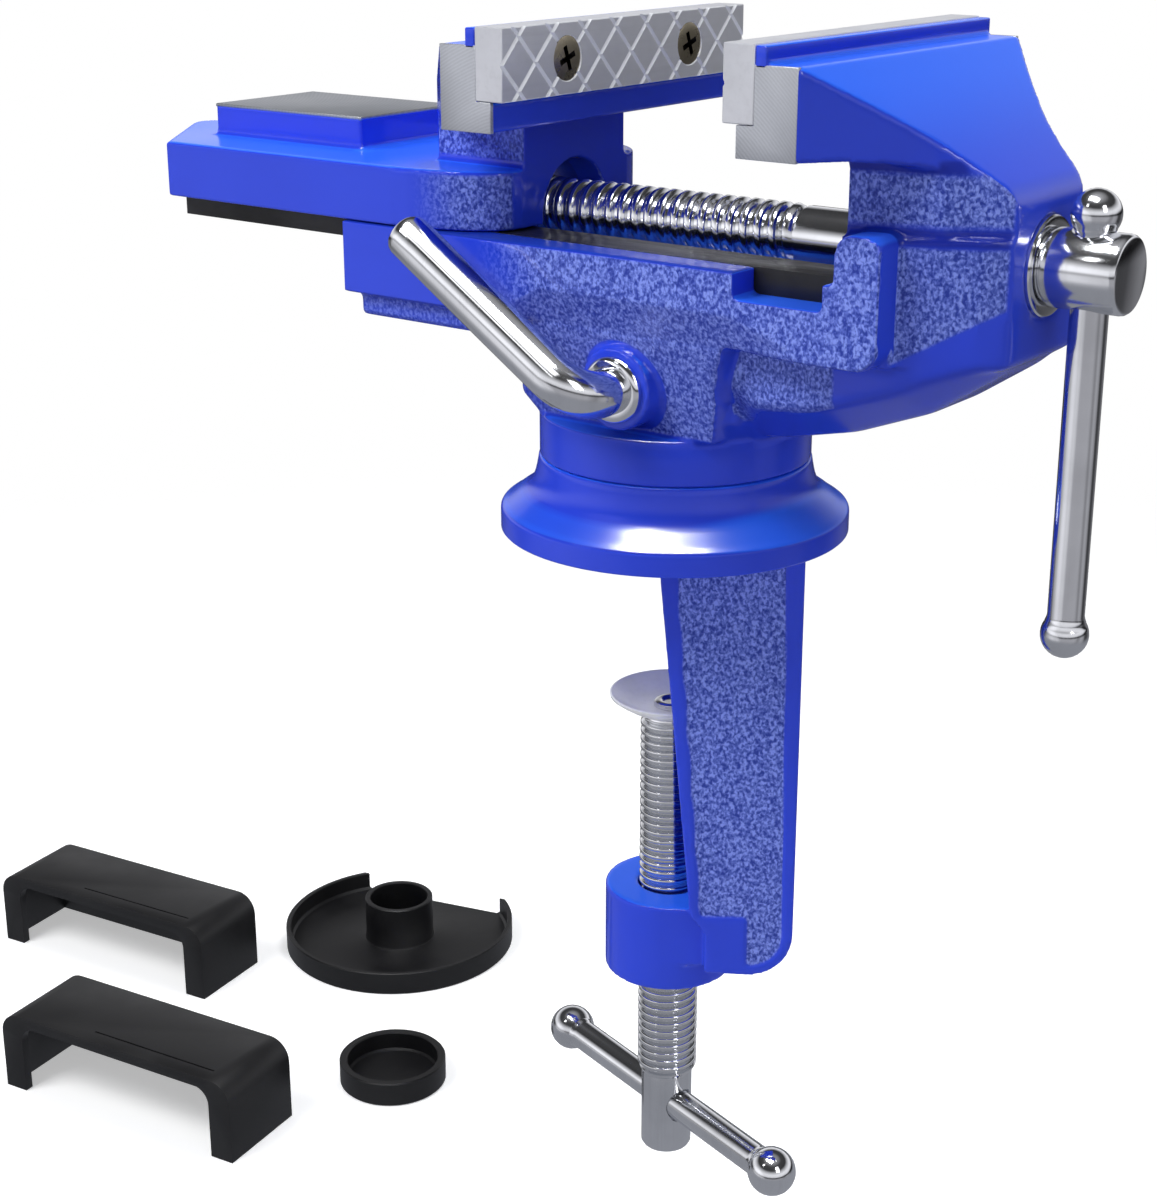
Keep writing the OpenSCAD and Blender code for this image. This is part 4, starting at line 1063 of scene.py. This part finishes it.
thread = threaded("spindle_thread", SPINDLE, X, r=5.8, depth=0.93, pitch=3, start=-60, end=28)
finish(thread, "spindle", chrome, "spindle")
shank_profile = [(0, 27.6), (4.86, 27.6), (5.5, 28), (5.6, 28.6), (5.6, 75.9), (0, 75.9)]
finish(lathe("spindle_shank", shank_profile, SPINDLE, X), "spindle", chrome)
head_profile = [(r, SPINDLE_HEAD_X + h) for r, h in (
    (0, 0), (5.9, 0), (6.45, 0.25), (6.7, 0.8), (6.7, 12.4), (6.6, 12.95), (6.35, 13.35), (6, 13.5),
    (0, 13.5))]
head = lathe("spindle_head", head_profile, SPINDLE, X, 128)
cut(head, cross_bore("head_bore", 3.75, 6.4, (CROSS_BORE_X, 0, AXIS_Z), Z))
finish(shade(head, 25), "spindle", chrome)


# Bars with turned ends

def ball_bar(name, at, direction, low, high, rod, ball):
    """A bar from low to high, a ball at each end, and a small collar under each."""
    start = math.degrees(math.asin(min(0.99, (rod + 0.35) / ball)))

    def end(sign, centre):
        angles = [math.radians(start + (180 - start) * i / 12) for i in range(12)]
        points = [(ball * math.sin(a), centre - sign * ball * math.cos(a)) for a in angles]
        seat = centre - sign * ball * math.cos(math.radians(start))
        collar = [(rod, seat - sign * 1.3), (rod + 0.12, seat - sign * 0.7),
                  (rod + 0.35, seat - sign * 0.12)]
        return collar + points + [(0, centre + sign * ball)]
    return lathe(name, end(-1, low)[::-1] + end(1, high), at, direction, 64)


handle = ball_bar("handle_rod", (CROSS_BORE_X, 0, 0), Z, low=-4.55, high=67.95, rod=3.2, ball=4.2)
finish(handle, "handle", chrome, "handle_bar", "handle_balls")
bar_way = (math.cos(math.radians(BAR_TURN)), math.sin(math.radians(BAR_TURN)), 0)
clamp_rod = ball_bar("clamp_rod", CLAMP_BORE, bar_way, low=-34.5, high=34.5, rod=3.2, ball=4.9)
finish(clamp_rod, "clamp_bar", chrome, "clamp_bar", "clamp_bar_ends")

# Clamp screw, its smooth end and the disc

screw = threaded("clamp_thread", (0, 0, 0), Z, r=6.2, depth=0.75, pitch=1.75, start=-120.7,
                 end=-39.4, steps=64)
finish(screw, "clamp_screw", chrome, "clamp_screw")
end_profile = [(0, -138.9), (4.3, -138.9), (4.95, -138.6), (5.3, -138), (5.3, -121.4),
               (5.05, -120.7), (5, -119.9), (0, -119.9)]
end = lathe("clamp_end", end_profile)
cut(end, cross_bore("end_bore", 3.7, 4.9, CLAMP_BORE, bar_way))
finish(shade(end, 25), "clamp_screw", chrome)

disc_profile = [(2.46, -38), (4.6, -38), (6.2, -37.8), (8.2, -37.2), (10.2, -36.2), (11.6, -35.4),
                (12.1, -35.05), (12.4, -35.2), (12.3, -35.7), (11.2, -36.5), (9.6, -37.5),
                (8, -38.4), (6.2, -39.1), (4.6, -39.3), (2.46, -39.3), (2.46, -38)]
finish(lathe("disc_bowl", disc_profile, steps=128, angle=50), "clamp_disc", zinc_lit_pale, "clamp_disc")
rivet_profile = [(0, -37.2), (1.5, -37.2), (1.75, -36.9), (2.1, -36.7), (3, -36.7), (3.45, -36.95),
                 (3.6, -37.4), (3.6, -37.9), (2.4, -37.95), (2.4, -39.2), (0, -39.2)]
finish(lathe("disc_rivet_head", rivet_profile, steps=64), "clamp_screw", zinc, "disc_rivet")


# Lock lever, its washer, and the ring in front of the nose

LEVER_R = 4.3
LEVER_LEAN = 147
LEVER_Y = -37
LEVER_BEND = 7
LEVER_LONG = 48
LEVER_TIP_R = 2.4


def lever_path():
    """Points and radii: out of the boss, round the bend and up the slope to the rounded tip."""
    lean = math.radians(LEVER_LEAN)
    out = Vector((math.cos(lean), 0, math.sin(lean)))
    base = Vector(LEVER_AT)
    corner = base + Vector((0, LEVER_Y, 0))
    path = [base + Vector((0, y, 0)) for y in (-21.99, -22, -27.4, -28.4, LEVER_Y + LEVER_BEND)]
    for i in range(1, 13):
        a = math.radians(90 * i / 12)
        path.append(base + Vector((0, LEVER_Y + LEVER_BEND - LEVER_BEND * math.sin(a), 0))
                    + out * (LEVER_BEND - LEVER_BEND * math.cos(a)))
    path += [corner + out * s for s in (10, 18, 26, 34, 41)]
    radii = [0] + [LEVER_R] * (len(path) - 1)
    for a in (0, 20, 40, 60, 80, 90):
        t = math.radians(a)
        path.append(corner + out * (LEVER_LONG - LEVER_TIP_R + LEVER_TIP_R * math.sin(t)))
        radii.append(LEVER_R - LEVER_TIP_R + LEVER_TIP_R * math.cos(t))
    return path + [corner + out * (LEVER_LONG + 0.02)], radii + [0]


finish(tube("lever_rod", *lever_path()), "lock_lever", chrome, "lock_lever")
washer_profile = [(4.25, 26), (6, 26), (6.1, 26.15), (6.1, 26.9), (5.85, 27.3), (5.3, 27.6),
                  (4.25, 27.6), (4.25, 26)]
washer = lathe("lever_washer", washer_profile, LEVER_AT, (0, -1, 0), angle=30)
finish(washer, "lock_lever", chrome, "lock_washer")
ring_profile = [(5.66, 73.7), (8.5, 73.7), (8.5, 74.9), (8.3, 75.2), (7.9, 75.3), (6.6, 75.3),
                (5.66, 75.1), (5.66, 73.7)]
finish(lathe("nose_ring", ring_profile, SPINDLE, X, angle=30), "vise_body", chrome, "front_ring")

# CAD nodes that keep their shape

for name, (material, _) in (("guide_screws", zinc), ("lock_pad", brass), ("spindle_nut", zinc),
                            ("nut_pin", zinc), ("retaining_collar", black_plate), ("collar_pin", zinc)):
    for slot in nodes[name].material_slots:
        slot.material = material

guide = bevel(copy_node("guide_plate", "guide_bar"), 0.3, angle=40)
finish(shade(guide, 30), "vise_body", black_plate, "guide_plate")

# Soft pads

COVER_LEN = 78.6
COVER_TURN = 8
PAD_AT = (-186, 119.5, FLOOR_Z)
PAD_TURN = 15
CAP_AT = (-133, 57.5, FLOOR_Z)

# Covers with crisp moulded edges and the slit behind their front edge
for node, name, x, y in (("jaw_cover_near", "cover_near", -216.4, -9.9),
                         ("jaw_cover_far", "cover_far", -284.9, 44.6)):
    cover = bevel(copy_node(node, name), 0.35, angle=40)
    slit = slab("slit", (30, 4.2, FLOOR_Z + 22.6), (COVER_LEN - 8, 4.75, FLOOR_Z + 24), 0.05, 1)
    cut(cover, place(slit, (x, y, 0), COVER_TURN))
    finish(shade(cover, 32), "base", black_pad, node)

pad_profile = [(0, 1.5), (8.9, 1.5), (8.9, 14.7), (9.1, 15), (10.2, 15), (10.5, 14.7), (10.5, 2.2),
               (10.8, 1.7), (11.4, 1.5), (33.2, 1.5), (33.9, 2.2), (33.9, 6.7), (34.1, 7), (35.1, 7),
               (35.4, 6.7), (35.4, 0.4), (35, 0), (0, 0)]
chord = prism("chord", [(-40, 24.5), (40, 24.5), (40, 60), (-40, 60)], -1, 8)
pad = cut(lathe("flange_pad", pad_profile, PAD_AT, Z, 160), place(chord, PAD_AT, PAD_TURN))
finish(shade(pad, 32), "base", black_pad, "base_pad")

cap_profile = [(0, 1.5), (12, 1.5), (12.55, 2.1), (12.55, 6.65), (12.85, 7), (14.4, 7),
               (14.75, 6.65), (14.75, 0.5), (14.25, 0), (0, 0)]
finish(lathe("disc_cover", cap_profile, CAP_AT, Z, 128), "base", black_pad, "disc_cap")


# Floor and world

FLOOR_HALF = 900
FLOOR_FADE = (0.34, 0.8)


def floor_material():
    """Pale floor that keeps the shadow, turns into the white backdrop, and is grey in reflections."""
    look = Look("floor_white")
    look.set(Base_Color=(0.9, 0.9, 0.9, 1), Roughness=0.9, Specular_IOR_Level=0)
    surface = look.shader.outputs[0]
    lift = look.glow("ShaderNodeEmission", (1, 1, 1, 1), 0.42)
    lit = look.add("ShaderNodeAddShader", {0: surface, 1: lift}).outputs[0]
    plain = look.mix_shader(look.ray("Camera"), surface, lit)
    grey = look.glow("ShaderNodeEmission", (0.3, 0.31, 0.34, 1), 1)
    seen = look.mix_shader(look.ray("Glossy"), plain, grey)
    clear = look.add("ShaderNodeBsdfTransparent").outputs[0]
    away = look.span(look.vector("LENGTH", look.coords), *FLOOR_FADE)
    look.output("Material", look.mix_shader(away, seen, clear))
    return look.material


floor = make("floor", [(x * FLOOR_HALF, y * FLOOR_HALF, FLOOR_Z) for x, y in CORNERS], [(0, 1, 2, 3)])
floor.data.materials.append(floor_material())

# Greys of the reflected studio: places from 0 to 1 as a ray turns towards a direction
HEIGHT_GREYS = [(0, 0.14), (0.3, 0.44), (0.44, 0.46), (0.475, 0.04), (0.5, 0.05), (0.53, 0.8),
                (0.62, 0.92), (0.7, 0.5), (0.77, 0.04), (0.9, 0.06), (1, 0.4)]
ROUND_GREYS = [(0, 0.9), (0.12, 0.95), (0.22, 0.55), (0.34, 0.9), (0.46, 0.7), (0.56, 0.12),
               (0.7, 0.14), (0.88, 0.5), (0.965, 0.1), (1, 0.03)]
UPPER_GREYS = [(0, 0), (0.5, 0), (0.56, 1), (1, 1)]
GLOW_GREYS = [(0, 0), (0.87, 0), (0.95, 0.42), (1, 0.46)]


def studio_world():
    """Soft grey light, a white backdrop for the camera, and banded cards for reflections."""
    world = bpy.data.worlds.new("studio")
    scene.world = world
    world.use_nodes = True
    sky = Nodes(world.node_tree)
    way = sky.add("ShaderNodeTexCoord").outputs["Generated"]

    def greys(direction, stops):
        """Slightly cool greys by how far the ray turns towards the direction."""
        dot = sky.vector("DOT_PRODUCT", way, Vector(direction).normalized())
        toward = sky.add("ShaderNodeMapRange", {"Value": dot, "From Min": -1}).outputs["Result"]
        return sky.ramp(toward, [(at, (grey, grey, grey * 1.03)) for at, grey in stops])

    height = greys(Z, HEIGHT_GREYS)
    both_ways = sky.mix(1, height, greys((-0.6, 0.8, -0.1), ROUND_GREYS), "MULTIPLY")
    bands = sky.mix(greys(Z, UPPER_GREYS), both_ways, height)
    cards = sky.mix(1, bands, greys((-0.57, -0.75, -0.32), GLOW_GREYS), "ADD")
    soft = sky.glow("ShaderNodeBackground", (0.6, 0.62, 0.66, 1), 0.55)
    white = sky.glow("ShaderNodeBackground", (1, 1, 1, 1), 1)
    shown = sky.glow("ShaderNodeBackground", cards, 1)
    mirrored = sky.mix_shader(sky.ray("Glossy"), soft, shown)
    sky.output("World", sky.mix_shader(sky.ray("Camera"), mirrored, white))


studio_world()


# Lights, in metres and watts

def area_light(name, at, target, size, watts, card=False, across=None):
    """A softbox that lights the object, or a card that only shows in reflections."""
    data = bpy.data.lights.new(name, "AREA")
    data.shape = "RECTANGLE"
    data.size, data.size_y = size
    data.energy = watts
    obj = link(bpy.data.objects.new(name, data))
    obj.location = at
    obj.rotation_euler = (Vector(target) - Vector(at)).to_track_quat("-Z", "Y").to_euler()
    if across is not None:
        back = (Vector(at) - Vector(target)).normalized()
        across = (across - across.dot(back) * back).normalized()
        obj.rotation_euler = Matrix((across, back.cross(across), back)).transposed().to_euler()
    obj.visible_diffuse = not card
    obj.visible_glossy = card
    return obj


def collection(name, *pieces):
    """A collection of pieces, for the lights that only some of them see."""
    group = bpy.data.collections.new(name)
    for piece in pieces:
        group.objects.link(bpy.data.objects[piece])
    return group


MIDDLE = (0, 0, 0.02)
area_light("key", (-0.35, -0.55, 0.7), MIDDLE, (0.5, 0.35), 6.6)
area_light("fill", (0.75, -0.3, 0.25), MIDDLE, (0.5, 0.5), 0.5)
area_light("top", (0.1, 0.25, 0.9), MIDDLE, (0.6, 0.4), 4.8)
over = area_light("over_card", (-0.03, -0.22, 0.9), (0.01, -0.02, 0.01), (0.55, 0.26), 9, card=True)
patch = area_light("flange_card", (-0.1, 0.03, 0.9), (0, -0.03, 0.01), (0.44, 0.3), 26, card=True)
front = area_light("front_card", (-0.35, -0.75, 0.75), MIDDLE, (0.12, 0.16), 0.4, card=True)
beside = area_light("side_card", (0.8, -0.35, 0.5), MIDDLE, (0.22, 0.4), 2, card=True)

# The lever has its own long cards, laid along it: its broad pale band and a narrow one beside it
LEVER_MIDDLE = (-0.0156, -0.037, 0.0454)
LEVER_WAY = Vector((-0.8387, 0, 0.5446))
lever_parts = collection("lever_parts", "lever_rod")
for name, at, width, watts in (("lever_card", (0.023, -0.472, 0.716), 0.3, 1.2),
                               ("lever_line_card", (-0.071, -0.638, 0.57), 0.08, 0.3)):
    card = area_light(name, at, LEVER_MIDDLE, (0.7, width), watts, card=True, across=LEVER_WAY)
    card.light_linking.receiver_collection = lever_parts

# The flange has its own card, which the jaws above it don't cover
turned = collection("turned_base", "flange_and_post", "collar_wall")
patch.data.cycles.use_multiple_importance_sampling = False
patch.light_linking.receiver_collection = turned
patch.light_linking.blocker_collection = turned
others = collection("all_but_turned_base", "flange_and_post")
others.collection_objects[0].light_linking.link_state = "EXCLUDE"
for card in (over, front, beside):
    card.light_linking.receiver_collection = others

# Camera, as fitted to the photograph: its place in metres, its own directions and its lens

CAMERA_AT = (0.22733, -0.32775, 0.12403)
CAMERA_RIGHT = Vector((0.79642, 0.60474, 0))
CAMERA_DOWN = Vector((0.19638, -0.25863, -0.9458))
CAMERA_FORWARD = Vector((-0.57196, 0.75326, -0.32474))
CAMERA_LENS = {"lens": 64.46, "sensor_width": 36, "shift_x": -0.00622, "shift_y": -0.01212,
               "clip_start": 0.01, "clip_end": 20}

camera = link(bpy.data.objects.new("camera", bpy.data.cameras.new("camera")))
for key, value in CAMERA_LENS.items():
    setattr(camera.data, key, value)
turn = Matrix((CAMERA_RIGHT, -CAMERA_DOWN, -CAMERA_FORWARD)).transposed()
camera.matrix_world = Matrix.Translation(Vector(CAMERA_AT)) @ turn.to_4x4()
scene.camera = camera
scene.view_settings.view_transform = "Standard"
